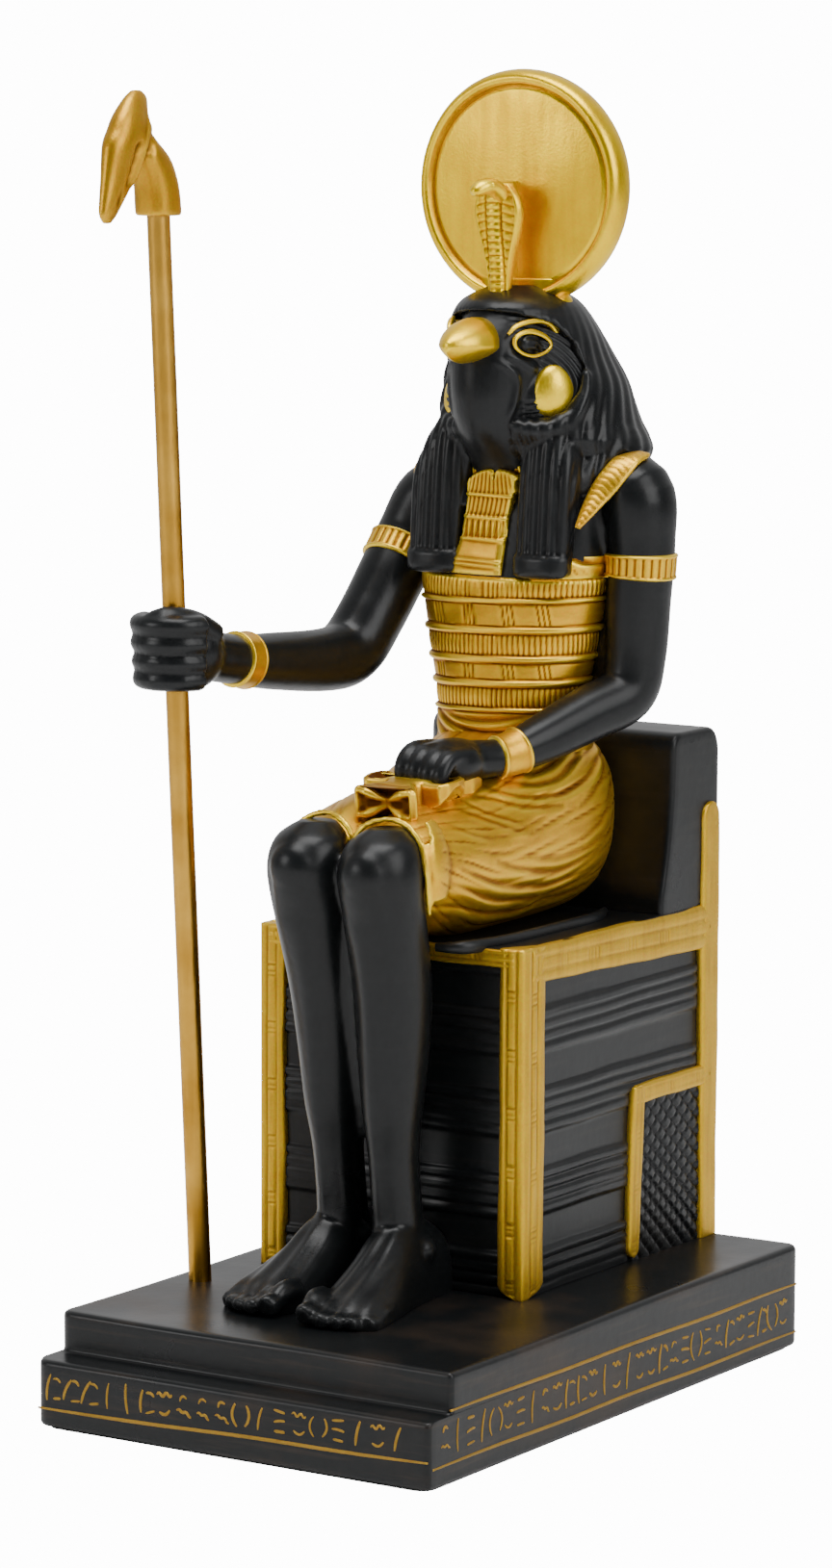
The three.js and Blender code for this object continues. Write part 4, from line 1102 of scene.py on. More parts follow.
def left_leg_grids():
    """The left leg: shank and knee, kneecap, ankle bones, foot, and toes with their nails."""
    grids = [stack(LEG_ROWS), foot_grid()]
    grids += [
        ball(7.6, -20.2, 71.6, 4.6, 3.3, 4.8), ball(7.6, -17.6, 62.6, 2.4, 3.4, 3.0),
        ball(11.0, -7.4, 8.4, 1.9, 2.3, 2.2), ball(3.2, -8.4, 9.4, 1.8, 2.2, 2.2),
    ]
    for out, tip, r in TOE_ROWS:
        grids.append(limb([
            (out - 0.9, tip + 8.5, r * 1.75, r * 0.8), (out - 0.4, tip + 5.2, r * 1.75, r * 0.98),
            (out, tip + 2.8, r * 1.12, r * 0.92), (out + 0.1, tip + 1.3, r * 0.95, r * 1.02),
            (out + 0.1, tip + 0.3, r * 0.75, r * 0.72),
        ], 16, 4))
        grids.append(ball(out + 0.1, tip + 0.9, r * 1.62, r * 0.62, r * 0.75, r * 0.34, 12))
    return grids


def to_right_leg(grid):
    """The left leg's mirror image, moved by a shift that runs evenly from the foot to the knee."""
    drop = 1 - np.minimum(grid[..., 2], KNEE_LEVEL) / KNEE_LEVEL
    moved = grid.copy()
    moved[..., 0] = RIGHT_KNEE_SHIFT[0] + (RIGHT_FOOT_SHIFT[0] - RIGHT_KNEE_SHIFT[0]) * drop - grid[..., 0]
    moved[..., 1] += RIGHT_KNEE_SHIFT[1] + (RIGHT_FOOT_SHIFT[1] - RIGHT_KNEE_SHIFT[1]) * drop
    return moved


def leg_relief(points, normals):
    """The shin's edge down each front, the hollow below each kneecap, tendons over each instep."""
    x, y, z = points.T
    centre = np.where(x > 0.4, *SHIN_CENTRES)
    off = x - centre
    forward = np.clip(-normals[:, 1], 0, 1)
    shin = 0.35 * dent(off + 0.6 * np.sign(centre), 1.6) * soft_step(z - 16, 4) * soft_step(60 - z, 5)
    below_cap = -0.5 * dent(z - 64.5, 2.2) * dent(off, 4.5)
    beside_cap = -0.3 * dent(z - 69, 4) * dent(np.abs(off) - 5.0, 1.0)
    on_instep = soft_step(-14 - y, 2) * soft_step(normals[:, 2] - 0.35, 0.2) * (z < 14) * soft_step(y + 31, 2)
    spread = off / (1 + (-14 - y) * 0.02)
    tendons = 0.16 * np.cos(spread * 2 * math.pi / 2.7) * on_instep
    return forward * (shin + below_cap + beside_cap) + tendons


def leg_forms():
    """Both legs and the web that ties the calves."""
    left = left_leg_grids()
    return left + [to_right_leg(grid) for grid in left] + [stack(WEB_ROWS, squareness=3.0)]


leg_skin = cast_skin(leg_forms(), LIMB_VOXEL, smoothing=3)
body_enamel = rubbed_black_enamel("satin_black_enamel_on_body", "#22201e", 0.1)
legs = make_piece("legs", placed(carved(leg_skin, leg_relief)), body_enamel)
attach(legs, "root")
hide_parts("statue")

# Kilt
# Cloth drawn tight over hips and thighs, modelled in the casting and painted gold over brown.
# Deep creases fan out from the lap and sag under the thigh, and a thin hem frames each knee.

KILT_ROWS = [
    # y, half width, bottom, top, valley
    (-12.2, 13.4, 65.5, 77.4, 1.6), (-11.6, 14.1, 64.5, 78.4, 2.2), (-8, 15.4, 62.0, 80.2, 2.2),
    (-1, 16.1, 59.5, 82.0, 2.0), (7, 16.4, 57.6, 83.6, 1.5), (16, 16.7, 57.4, 86.2, 0.9),
    (26, 16.9, 57.4, 89.4, 0.3), (35, 16.9, 57.6, 91.5, 0), (43, 16.0, 58.4, 91.0, 0),
    (48.5, 12.5, 61.5, 86.5, 0), (50, 8.0, 66, 82, 0),
]
VALLEY_WIDTH = 3.4
KILT_VOXEL = 0.47
KILT_SIDES = 72
MEAN_RADIUS = 15.0
FOLD_SHARE = 0.6
FINE_PITCH = 1.75
FINE_CREASE = 0.17
CLOTH_TONES = ("#5a3004", "#9e6810", "#daa622", "#f0ca34")
CLOTH_BRUSH = (160.0, 60.0, 420.0)
MIRROR = np.array([-1, 1, 1])
RIGHT_HEM_SHIFT = (0.9, 0, 0)
DEEP_FOLDS = [
    # depth, then places along the fold: y, and degrees up round the thigh
    (0.75, [(-9.0, -40), (-3.1, -35), (7.7, -39), (18.3, -45), (24.0, -42), (34.0, -43), (42, -40)]),
    (0.50, [(-5.9, -17), (3.7, -25), (15.1, -34), (24.6, -38), (34.6, -35), (40.0, -29)]),
    (0.50, [(-3.8, -5), (4.2, -14), (14.7, -25), (24.6, -31), (33.0, -28), (41.0, -20)]),
    (0.42, [(6.2, -2), (14.6, -14), (23.9, -23), (32.0, -23), (39.2, -18), (43.0, -8)]),
    (0.32, [(15.5, -7), (24.3, -15), (32.4, -16), (39.5, -12), (43.0, -2)]),
    (0.28, [(32.0, -11), (38.3, -5), (42.5, 8)]),
    (0.55, [(7.3, 54), (10.0, 45), (13.7, 33), (19.0, 23), (25.5, 16)]),
    (0.60, [(11.6, 53), (14.3, 40), (20.3, 28), (27.4, 22), (34.6, 24), (41.5, 34)]),
    (0.50, [(15.8, 48), (20.6, 37), (26.6, 32), (33.5, 37), (38, 48)]),
    (0.45, [(18.2, 50), (23.3, 42), (29.0, 42), (34, 52)]),
    (0.45, [(4.5, 53), (6.5, 39), (11.8, 23), (14.7, 17)]),
    (0.40, [(1.7, 48), (5.6, 33), (11.3, 18), (16, 10)]),
    (0.22, [(-4.0, 42), (0.6, 25), (5.5, 17)]),
    (0.40, [(43.5, 46), (42.0, 30), (37.5, 16), (31.5, 9)]),
    (0.35, [(44.5, 34), (43.4, 20), (40.0, 4)]),
    (0.30, [(45.5, 20), (44.5, 4), (41.5, -14)]),
]
HEM_PATH = [
    # the thin edge round the left knee: x, y, z, radius
    (0.5, -12.6, 66.0, 0.6), (0.6, -13.4, 71.0, 0.6), (1.1, -14.0, 76.0, 0.6), (3.4, -13.6, 79.0, 0.65),
    (7.2, -12.4, 80.0, 0.65), (11.0, -12.6, 79.0, 0.65), (13.7, -13.2, 76.2, 0.7), (14.7, -13.2, 72.0, 0.7),
    (14.7, -12.6, 68.0, 0.7), (14.2, -11.6, 64.8, 0.6),
]
TAIL_PATH = [
    # the sash's tail beside the left knee: x, y, z, radius
    (13.4, -10.6, 80.2, 1.6), (14.9, -10.2, 77.2, 2.3), (15.6, -10.0, 72.0, 2.5), (15.2, -9.8, 67.0, 2.2),
]


def kilt_section(y):
    """The kilt's half width, middle height, rise, drop and valley at places along its length."""
    rows = eased(KILT_ROWS)
    a, low, high, valley = (np.interp(y, rows[:, 0], rows[:, k]) for k in (1, 2, 3, 4))
    middle = (low + high) / 2 + 1.5
    return a, middle, high - middle, middle - low, valley


def kilt_grid():
    """Upright sections along the thighs: power curves of width and height, with a bell-shaped
    valley between the thighs on top."""
    y = eased(KILT_ROWS)[:, :1]
    a, middle, rise, drop, valley = kilt_section(y)
    turn = full_turn(KILT_SIDES)
    x = a * power(np.cos(turn), 0.86)
    up = power(np.sin(turn), 0.8)
    z = middle + np.where(up > 0, rise, drop) * up - np.where(up > 0, valley * dent(x, VALLEY_WIDTH), 0)
    return np.stack([x, y + 0 * turn, z], -1)


def along_line(u, v, line):
    """Each point's signed distance from a smooth line, and the share of the line's length at the
    nearest place on it. Positive distances lie to the left of the line's run."""
    line = eased(line, 5)
    length = np.linalg.norm(np.diff(line, axis=0), axis=1)
    start = np.concatenate([[0], length.cumsum()])
    nearest = np.full(u.shape, 1e9)
    signed, share = np.zeros(u.shape), np.zeros(u.shape)
    for a, b, size, way in zip(line[:-1], line[1:], length, start):
        du, dv = (b - a) / size
        run = np.clip((u - a[0]) * du + (v - a[1]) * dv, 0, size)
        off_u, off_v = u - a[0] - run * du, v - a[1] - run * dv
        distance = np.hypot(off_u, off_v)
        closer = distance < nearest
        nearest = np.where(closer, distance, nearest)
        signed = np.where(closer, distance * np.where(du * off_v - dv * off_u < 0, -1, 1), signed)
        share = np.where(closer, (way + run) / start[-1], share)
    return signed, share


def crease(u, v, line, depth, width=0.55):
    """A fold of cloth along a line: a narrow groove with a fuller swell on its right, both fading
    towards the line's two ends."""
    distance, share = along_line(u, v, line)
    fade = np.clip(np.sin(math.pi * np.clip(share, 0.02, 0.98)), 0, 1) ** 0.5
    return fade * (0.55 * depth * dent(distance + 2.1 * width, 1.5 * width) - depth * dent(distance, width))


def kilt_relief(points, normals):
    """All the creases, the same on both thighs, laid out by the way along the thigh and the angle
    round it. Between the deep ones lie fine ones that come and go."""
    x, y, z = points.T
    a, middle, rise, drop, _ = kilt_section(y)
    angle = np.arctan2((z - middle) / np.where(z > middle, rise, drop), np.abs(x) / a)
    round_way = angle * MEAN_RADIUS
    lift = np.zeros(len(points))
    for depth, fold in DEEP_FOLDS:
        line = [(forward, math.radians(degrees) * MEAN_RADIUS) for forward, degrees in fold]
        lift += FOLD_SHARE * crease(y, round_way, line, depth)
    phase = (round_way - 0.006 * (y - 22) ** 2 + 0.4 * np.sin(y / 5)) / FINE_PITCH
    line = np.round(phase)
    strength = (0.5 + 0.5 * np.sin(2.4 * line + y / 4.2)) ** 1.5
    lift -= FINE_CREASE * strength * dent(to_line(phase, FINE_PITCH), 0.33)
    on_thigh = soft_step(y + 10.4, 0.8) * soft_step(1.2 - np.abs(normals[:, 1]), 0.1)
    return lift * on_thigh


def kilt_forms():
    """The cloth over the thighs, the hem round each knee, and the sash's tail."""
    hem = limb(HEM_PATH, 16, 6, 0.7)
    tail = limb(TAIL_PATH, 16, 6, 0.22, (0, 1, 0))
    return [kilt_grid(), hem, tail, hem * MIRROR + [*RIGHT_KNEE_SHIFT, 0] + RIGHT_HEM_SHIFT]


kilt_skin = cast_skin(kilt_forms(), KILT_VOXEL, smoothing=3)
cloth_gilding = antiqued_and_shaded_gold_paint("antiqued_gold_paint_on_cloth", CLOTH_TONES, CLOTH_BRUSH, 0.88, 0.36)
kilt = make_piece("kilt", placed(carved(kilt_skin, kilt_relief)), cloth_gilding, reach=1.2)
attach(kilt, "root")
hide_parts("statue")

# Roll of the seat cushion
# A thin roll lies on the seat along each side of the kilt, where the sitter presses a pad out. It
# is cast with the throne and painted black like it.

ROLL_RADIUS = 1.15
ROLL_END = 0.6
ROLL_PATH = [
    # x, y, z
    (11.0, -4.6, 58.3), (15.4, -2.2, 58.4), (17.6, 6, 58.4), (18.0, 20, 58.4), (17.8, 34, 58.4),
    (14.5, 43, 58.3),
]


def roll_shell():
    """A slightly flat cord along the path, thinner at its two ends, and its mirror image."""
    rows = np.array([(*place, ROLL_RADIUS) for place in ROLL_PATH])
    rows[[0, -1], 3] *= ROLL_END
    grid = limb(rows, 18, 10, 0.9, (0, 0, 1))
    return joined([lofted(grid), lofted(grid * MIRROR)])


seat_roll = make_piece("seat_roll", placed(roll_shell()), throne_enamel)
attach(seat_roll, "root")
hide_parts("statue")

# Ankh
# The looped cross held under the left fist. It lies on the lap with its stem between the knees, a
# plate in one with the casting, with soft edges and hollows in its flared arms, painted gold.

ANKH_OUTLINE = [
    # half outline from the foot of the stem up: out, along
    (1.6, -9.3), (3.4, -9.9), (5.3, -9.6), (6.1, -8.6), (4.9, -6.6), (2.9, -4.0), (3.4, -3.0), (5.6, -3.4),
    (7.2, -3.7), (8.4, -2.4), (8.8, 0), (8.4, 2.4), (7.2, 3.7), (5.4, 3.1), (4.2, 2.6), (5.6, 4.6),
    (6.9, 7.4), (6.6, 10.4), (4.2, 13.4), (0.0, 14.8),
]
ANKH_THICKNESS = 5.4
ANKH_BEVEL = 1.0
ANKH_TILT = 0.1
ANKH_PLACE = (3.2, 1.2, 79.9)
STEM_FOOT = -9.2
ANKH_SPACING = 0.3


def ankh_shell():
    """The outline carried through the plate's thickness with rounded rims, laid flat and tilted.
    The stem's foot is a bow tie with a three-cornered hollow in each half, and each arm is a small
    scoop that thins towards its rim."""
    half = np.array(ANKH_OUTLINE)
    outline = evenly(np.concatenate([[[0.0, STEM_FOOT + 0.9]], half, half[-2::-1] * [-1, 1]]), ANKH_SPACING)
    points, quads, triangles = thick_plate(outline, 0, ANKH_THICKNESS, ANKH_BEVEL)
    lift, out, along = points.T
    side = np.abs(out)
    middle = ANKH_THICKNESS / 2
    wedge = soft_step(0.05 + 0.34 * side - np.abs(lift - middle), 0.25) * soft_step(4.9 - side, 0.35)
    foot = wedge * soft_step(STEM_FOOT + 1.5 - along, 0.5)
    waist = dent(side, 2.0) * soft_step(-6.5 - along, 0.8)
    cup = soft_step(side - 4.4, 0.6) * soft_step(7.4 - side, 0.4) * dent(along, 2.1)
    tip = np.clip((side - 3.6) / 5.0, 0, 1) ** 1.3 * dent(along, 4.6)
    lift = middle + (lift - middle) * (1 - 0.6 * waist)
    lift = lift + (ANKH_THICKNESS - lift) * 0.8 * tip - 1.0 * cup * (lift > middle)
    along = along + 1.0 * foot
    y = along * math.cos(ANKH_TILT) - lift * math.sin(ANKH_TILT)
    z = along * math.sin(ANKH_TILT) + lift * math.cos(ANKH_TILT)
    return np.stack([out, y, z], 1) + ANKH_PLACE, quads, triangles


ankh = make_piece("ankh", placed(ankh_shell()), cloth_gilding, reach=0.8)
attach(ankh, "root")
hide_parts("statue")

# Corset
# The gold wrap from belly to chest: pleated bands between rounded cords and flat bands that carry
# groups of cuts, over a belly of sweeping folds. It is carved in the casting and painted gold.

TORSO_ROWS = [
    # height, x, y, half width, half depth
    (82, 0, 37.6, 13.4, 9.4), (84, 0, 37.6, 13.6, 9.6), (90, 0, 37.2, 13.2, 9.8), (96, 0, 36.9, 13.3, 10.0),
    (104, 0, 37.3, 15.1, 10.2), (115.5, 0, 38.4, 17.3, 11.3), (126.5, 0, 40.4, 18.9, 11.4),
    (131, 0, 41.0, 18.2, 10.2), (134.5, 0, 41.4, 14.6, 8.8), (137, 0, 41.6, 9.6, 7.2),
]
TORSO_SQUARENESS = 2.3
CORSET_TOP = 116.0
BAND_TILT = 0.025
PLEAT_PITCH = 0.93
PLEAT_DEPTH = 0.26
CORD_RISE = 0.55
PLEATED = [(112.3, 115.9), (102.6, 106.2), (93.8, 97.2)]
CORDS = [(111.4, 112.3), (106.2, 107.5), (101.3, 102.6), (97.2, 98.5), (93.0, 93.8)]
FLAT_BANDS = [(107.5, 111.4), (98.5, 101.3)]
CUT_GROUPS = [-9.4, -2.6, 5.0, 11.2]
CORSET_FOOT = 82.6
CORSET_ROW = 0.25
CORSET_SIDES = 300
BELLY_FOLDS = [
    # depth, then places along the fold: way round from the middle of the front, and height
    (0.55, [(-13, 93.5), (-6, 90.4), (0, 89.4), (7, 90.6), (13, 94)]),
    (0.45, [(-14, 91.6), (-7, 88.4), (0, 87.4), (8, 88.8), (15, 92.6)]),
    (0.45, [(-15, 89.2), (-8, 86.2), (0, 85.4), (8, 86.6), (16, 90.8)]),
    (0.35, [(-9, 92.6), (-3, 91.6), (3, 91.7), (9, 92.9)]),
    (0.35, [(2, 85.2), (8, 84.8), (15, 88.0)]),
]


def torso_section(z):
    """The trunk's middle, half width and half depth at a height."""
    rows = eased(TORSO_ROWS)
    return [np.interp(z, rows[:, 0], rows[:, k]) for k in (2, 3, 4)]


def chest_front(x, z):
    """How far forward the trunk's skin is: its superellipse solved for the depth."""
    middle, a, b = torso_section(z)
    return middle - b * (1 - np.clip(np.abs(x) / a, 0, 0.999) ** TORSO_SQUARENESS) ** (1 / TORSO_SQUARENESS)


def corset_relief(way, z):
    """The wrap's height over the skin: pleats as rounded ridges of one pitch, cords as half
    rounds, three short cuts side by side in each group, and creases over the belly."""
    h = z - BAND_TILT * way
    lift = np.full(np.broadcast(way, z).shape, 0.25)
    for low, high in PLEATED:
        inside = between(h, low + 0.1, high - 0.1, 0.12)
        phase = way / PLEAT_PITCH + 0.15 * np.sin(way / 5 + low)
        bulge = 0.12 * np.sin(math.pi * np.clip((h - low) / (high - low), 0, 1))
        lift += inside * (bulge - PLEAT_DEPTH * dent(to_line(phase, PLEAT_PITCH), 0.2))
    for low, high in CORDS:
        half = (high - low) / 2
        lift += CORD_RISE * np.sqrt(np.clip(1 - ((h - low - half) / half) ** 2, 0, 1))
        lift -= 0.16 * (dent(h - low + 0.05, 0.14) + dent(h - high - 0.05, 0.14))
    for low, high in FLAT_BANDS:
        inside = between(h, low + 0.25, high - 0.25, 0.1)
        for group in CUT_GROUPS:
            for step in (-0.85, 0.0, 0.85):
                lift = lift - 0.28 * inside * dent(way - group - step + 0.15 * (h - low), 0.18)
    belly = soft_step(92.9 - h, 0.1)
    folds = sum(crease(way, z, line, depth, 0.5) for depth, line in BELLY_FOLDS)
    return lift + belly * (folds + 0.15)


def corset_shell():
    """Level superellipse rings from the lap to the chest, pushed out by the relief; the way round
    is measured from the middle of the front."""
    z = np.arange(CORSET_FOOT, CORSET_TOP, CORSET_ROW)[:, None]
    middle, a, b = torso_section(z)
    turn = full_turn(CORSET_SIDES)[None]
    p = 2 / TORSO_SQUARENESS
    flat = np.stack([a * power(np.sin(turn), p), middle - b * power(np.cos(turn), p)], -1)
    step = np.linalg.norm(np.roll(flat, -1, 1) - flat, axis=-1)
    way = step.cumsum(1) - step
    way = np.where(way > step.sum(1, keepdims=True) / 2, way - step.sum(1, keepdims=True), way)
    close = 0.5 * soft_step(z - CORSET_TOP + 0.35, 0.15)
    lift = corset_relief(way, z) - close
    level = np.broadcast_to(z, way.shape)[..., None]
    return lofted(np.concatenate([flat + ring_normals(flat) * lift[..., None], level], -1))


corset = make_piece("corset", placed(corset_shell()), cloth_gilding, reach=0.7)
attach(corset, "root")
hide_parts("statue")

# Chest panel and straps
# A small gold breast ornament hangs between the lappets. Its two upper fields are cut with upright
# and leaning lines and the one below with pointed feathers. A band ends beside the left arm, and
# two straps run over the shoulders. All are carved in the casting and painted.

PANEL_LEFT = [
    # the edges of the ornament: height, x
    (116.2, -6.9), (119.6, -6.0), (122.1, -5.2), (125.5, -4.9), (129.9, -4.5), (134, -4.5),
]
PANEL_RIGHT = [(116.2, 3.0), (122.6, 3.4), (126, 3.5), (130.4, 4.6), (134, 5.2)]
PANEL_RIDGES = [117.7, 118.45, 122.05, 125.65, 129.4]
PANEL_SPAN = (116.2, 134.4)
PANEL_ROW = 0.2
PANEL_COLUMNS = 52
SIDE_BAND_X = (8.6, 18.4)
SIDE_BAND_Z = (115.9, 119.8)
SIDE_BAND_STEP = 0.26
RIGHT_STRAP_SHIFT = (3.2, 0, -2.4)
STRAP_PATH = [
    # the left one, over the shoulder: x, y, z, radius
    (17.3, 28.6, 124.8, 0.4), (17.9, 30.6, 127.2, 1.2), (18.8, 33.0, 130.1, 1.9), (20.2, 35.0, 133.0, 2.2),
    (21.4, 37.4, 135.4, 2.2), (22.2, 40.6, 136.4, 1.7), (22.2, 41.8, 136.3, 0.9),
]
PANEL_UPRIGHT = 126.5
PANEL_NOTCH = 0.9
CUT_PITCH = 0.9
FEATHER_WIDTH = 1.2


def panel_edges(z):
    """The ornament's left and right edges at a height."""
    return [np.interp(z, *np.array(edge).T) for edge in (PANEL_LEFT, PANEL_RIGHT)]


def panel_relief(x, z):
    """Soft rims and level ridges, upright cuts in the two upper fields, the second ones leaning a
    little, a row of pointed feathers below, and a plain foot."""
    left, right = panel_edges(z)
    lift = 0.6 - 0.3 * (dent(x - left, 0.5) + dent(x - right, 0.5))
    for ridge in PANEL_RIDGES:
        lift = lift + 0.3 * dent(z - ridge + 0.03 * x, 0.3)
    feathers, lower, upper = PANEL_RIDGES[2:]
    fan = (x + 0.12 * (z - upper) * (x - PANEL_NOTCH) / 2) / CUT_PITCH
    lean = (x - 0.22 * (z - lower)) / CUT_PITCH
    leaf = np.abs(to_line(x / FEATHER_WIDTH, FEATHER_WIDTH))
    tip = np.sqrt(np.clip((z - feathers - 0.3) / (lower - feathers - 0.6), 0, 1))
    upper_field = z > upper + 0.3
    lower_field = (z > lower + 0.3) * (z < upper - 0.3)
    feathered = (z > feathers + 0.3) * (z < lower - 0.3)
    lift = lift - 0.26 * upper_field * dent(to_line(fan, CUT_PITCH), 0.2)
    lift = lift - 0.26 * lower_field * dent(to_line(lean, CUT_PITCH), 0.2)
    lift = lift - 0.3 * feathered * soft_step(leaf - 0.5 * FEATHER_WIDTH * tip * 0.85, 0.07)
    lobes = 134.0 - 1.8 * dent(x - PANEL_NOTCH, 0.35) - 0.07 * (x - PANEL_NOTCH) ** 2
    return lift - 1.6 * soft_step(z - lobes, 0.12)


def on_chest(x, z, lift):
    """Places over the chest's skin, pushed forward by the lift. Where the shoulders fall back the
    ornament stays upright."""
    return np.stack([x, chest_front(x, np.minimum(z, PANEL_UPRIGHT)) - lift, z + 0 * x], -1)


def panel_shell():
    """A grid between the panel's two edges, its rims turned down, laid on the chest."""
    z = np.arange(*PANEL_SPAN, PANEL_ROW)[:, None]
    u = np.linspace(0, 1, PANEL_COLUMNS)[None]
    left, right = panel_edges(z)
    x = left + (right - left) * u
    return flat_plate(x, z + 0 * x, panel_relief(x, z), on_chest, 3.0)


def side_band_shell():
    """The short band beside the left arm: a plate with a small peak and a row of slanting cuts."""
    x, z = np.meshgrid(np.arange(*SIDE_BAND_X, SIDE_BAND_STEP), np.arange(*SIDE_BAND_Z, SIDE_BAND_STEP))
    top = 118.3 + 0.9 * dent(x - 14.2, 1.2) - 0.06 * (x - 14)
    lift = 0.55 - 0.2 * dent(to_line(x + 0.4 * z), 0.2) * (z > 116.5) * (z < 117.7)
    return flat_plate(x, z, lift - 1.5 * soft_step(z - top, 0.12), on_chest)


def strap_relief(way, turn):
    """A zigzag of cuts between two plain rims, along a strap."""
    zigzag = way / 1.1 + 0.5 * np.abs(np.cos(turn))
    rims = np.abs(np.cos(turn)) > 0.78
    return np.where(rims, 0.08, -0.14 * dent(to_line(zigzag), 0.22))


def chest_gold_shell():
    """The panel, the side band and both straps, the right one lower and further in."""
    strap = limb(STRAP_PATH, 40, 24, 0.4, (1, 0.3, 0), strap_relief)
    right_strap = strap * MIRROR + RIGHT_STRAP_SHIFT
    return joined([panel_shell(), side_band_shell(), lofted(strap), lofted(right_strap)])


chest_gold = make_piece(
    "chest_panel_and_straps", placed(chest_gold_shell()), cloth_gilding, reach=0.6)
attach(chest_gold, "root")
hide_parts("statue")

# Chest, arms and fists
# The bare skin of the casting: shoulders, the right arm held forward round the staff, and the left
# forearm across the lap. It is satin black like the legs, with soft highlights on the muscles.

LEFT_ARM = [
    # from the shoulder to the wrist: x, y, z, radius
    (14.5, 41.4, 130.6, 4.8), (21.0, 41.0, 130.0, 6.5), (22.3, 41.0, 121.5, 5.8), (21.9, 41.0, 112, 5.5),
    (21.5, 41.0, 102.6, 5.1), (20.7, 39.2, 96.4, 4.9), (17.2, 32.0, 93.2, 4.7), (13.8, 23.4, 89.8, 4.1),
    (10.8, 16.2, 87.5, 3.2), (8.4, 11.4, 87.2, 3.4),
]
RIGHT_ARM = [
    # the same on the right
    (-14.5, 41.4, 129.6, 4.6), (-19.4, 40.9, 127.4, 5.9), (-22.4, 39.6, 121, 6.0), (-23.4, 35.0, 114.6, 5.9),
    (-24.6, 30.4, 107.8, 5.8), (-25.9, 25.8, 102.2, 5.8), (-26.5, 19.0, 100.9, 5.4), (-27.4, 4.0, 102.0, 4.8),
    (-27.9, -6.0, 103.2, 4.2), (-28.6, -12.6, 104.4, 4.2),
]
ARM_WEB = [
    # the casting isn't open between the left arm and the trunk
    (15.4, 43.0, 124, 3.6), (16.4, 42.6, 114, 3.4), (17.0, 42.2, 104, 3.9), (16.4, 41.6, 97, 3.6),
    (15.0, 41, 91, 2.6),
]
WAIST_ROW = (112, 0, 38.1, 16.0, 10.4)
UNDER_CORSET = 0.5
LEFT_GRIP = (5.2, 6.4, 86.8)
RIGHT_GRIP = (-30.1, -19.7, 105.4)
FINGER_REACH = 5.5


def left_fist():
    """The back of the hand as a ball, and four fingers bent down over the ankh."""
    x, y, z = LEFT_GRIP
    grids = [ball(x + 0.8, y + 1.6, z + 0.4, 5.6, 6.6, 3.9)]
    for i, out in enumerate((-3.9, -1.4, 1.1, 3.5)):
        grids.append(limb([
            (x + out + 1.2, y + 1.5, z + 2.6 - 0.25 * i, 1.5),
            (x + out + 0.2, y - 3.4, z + 2.4 - 0.3 * i, 1.6),
            (x + out - 0.2, y - 5.8, z - 0.2 - 0.3 * i, 1.5),
            (x + out - 0.1, y - 5.2, z - 3.2 - 0.2 * i, 1.35),
        ], 16, 5, 0.92))
    grids.append(limb([
        (x - 3.2, y + 3.6, z + 0.6, 1.9), (x - 5.2, y - 0.4, z + 0.2, 1.8), (x - 5.0, y - 4.0, z - 1.2, 1.5),
    ], 16, 5))
    return grids


def right_fist():
    """The palm as a ball, four fingers as arcs round the staff, and the thumb over them."""
    x, y, z = RIGHT_GRIP
    grids = [ball(x + 1, y + 3.4, z, 5.4, 5.2, 6.3)]
    for i, lift in enumerate((4.9, 1.8, -1.2, -4.1)):
        reach = FINGER_REACH - 0.15 * i
        turns = np.radians([175, 220, 265, 310, 355])
        path = [(x + 1.12 * reach * math.cos(t), y + reach * math.sin(t), z + lift, 1.75) for t in turns]
        grids.append(limb(path, 16, 6, 1.0, (0, 0, 1)))
    grids.append(limb([
        (x + 4.4, y + 4.6, z + 2.6, 2.3), (x + 3.6, y + 0.4, z + 5.2, 2.0), (x + 1.2, y - 3.6, z + 6.4, 1.75),
        (x - 1.6, y - 5.0, z + 6.0, 1.2),
    ], 16, 5, 1.0, (0, 0, 1)))
    return grids


def body_relief(points, normals):
    """The furrow between shoulder and chest."""
    x, _, z = points.T
    armpit = dent(np.abs(x) - 16.5 - 0.1 * (130 - z), 0.9)
    return -0.35 * armpit * soft_step(z - 116, 2) * soft_step(-normals[:, 1], 0.3)


def body_forms():
    """The bare trunk, a little inside the corset's skin, both arms, the web and both fists."""
    trunk = [WAIST_ROW]
    trunk += [(z, x, y, a - UNDER_CORSET, b - UNDER_CORSET) for z, x, y, a, b in TORSO_ROWS[5:]]
    return [
        stack(trunk, squareness=TORSO_SQUARENESS), limb(LEFT_ARM, 32), limb(RIGHT_ARM, 32),
        limb(ARM_WEB, 20), *left_fist(), *right_fist(),
    ]


body_skin = cast_skin(body_forms(), LIMB_VOXEL, smoothing=2)
body = make_piece("body", placed(carved(body_skin, body_relief)), body_enamel)
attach(body, "root")
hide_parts("statue")

# Armbands and bracelets
# Gold bands modelled a little proud of the arms in the casting. The armbands are cut with upright
# grooves between their two rims, and the bracelets are smooth.

BAND_PROUD = 0.4
BAND_GROOVES = 26
BAND_ROWS = 40
BAND_SIDES = 148


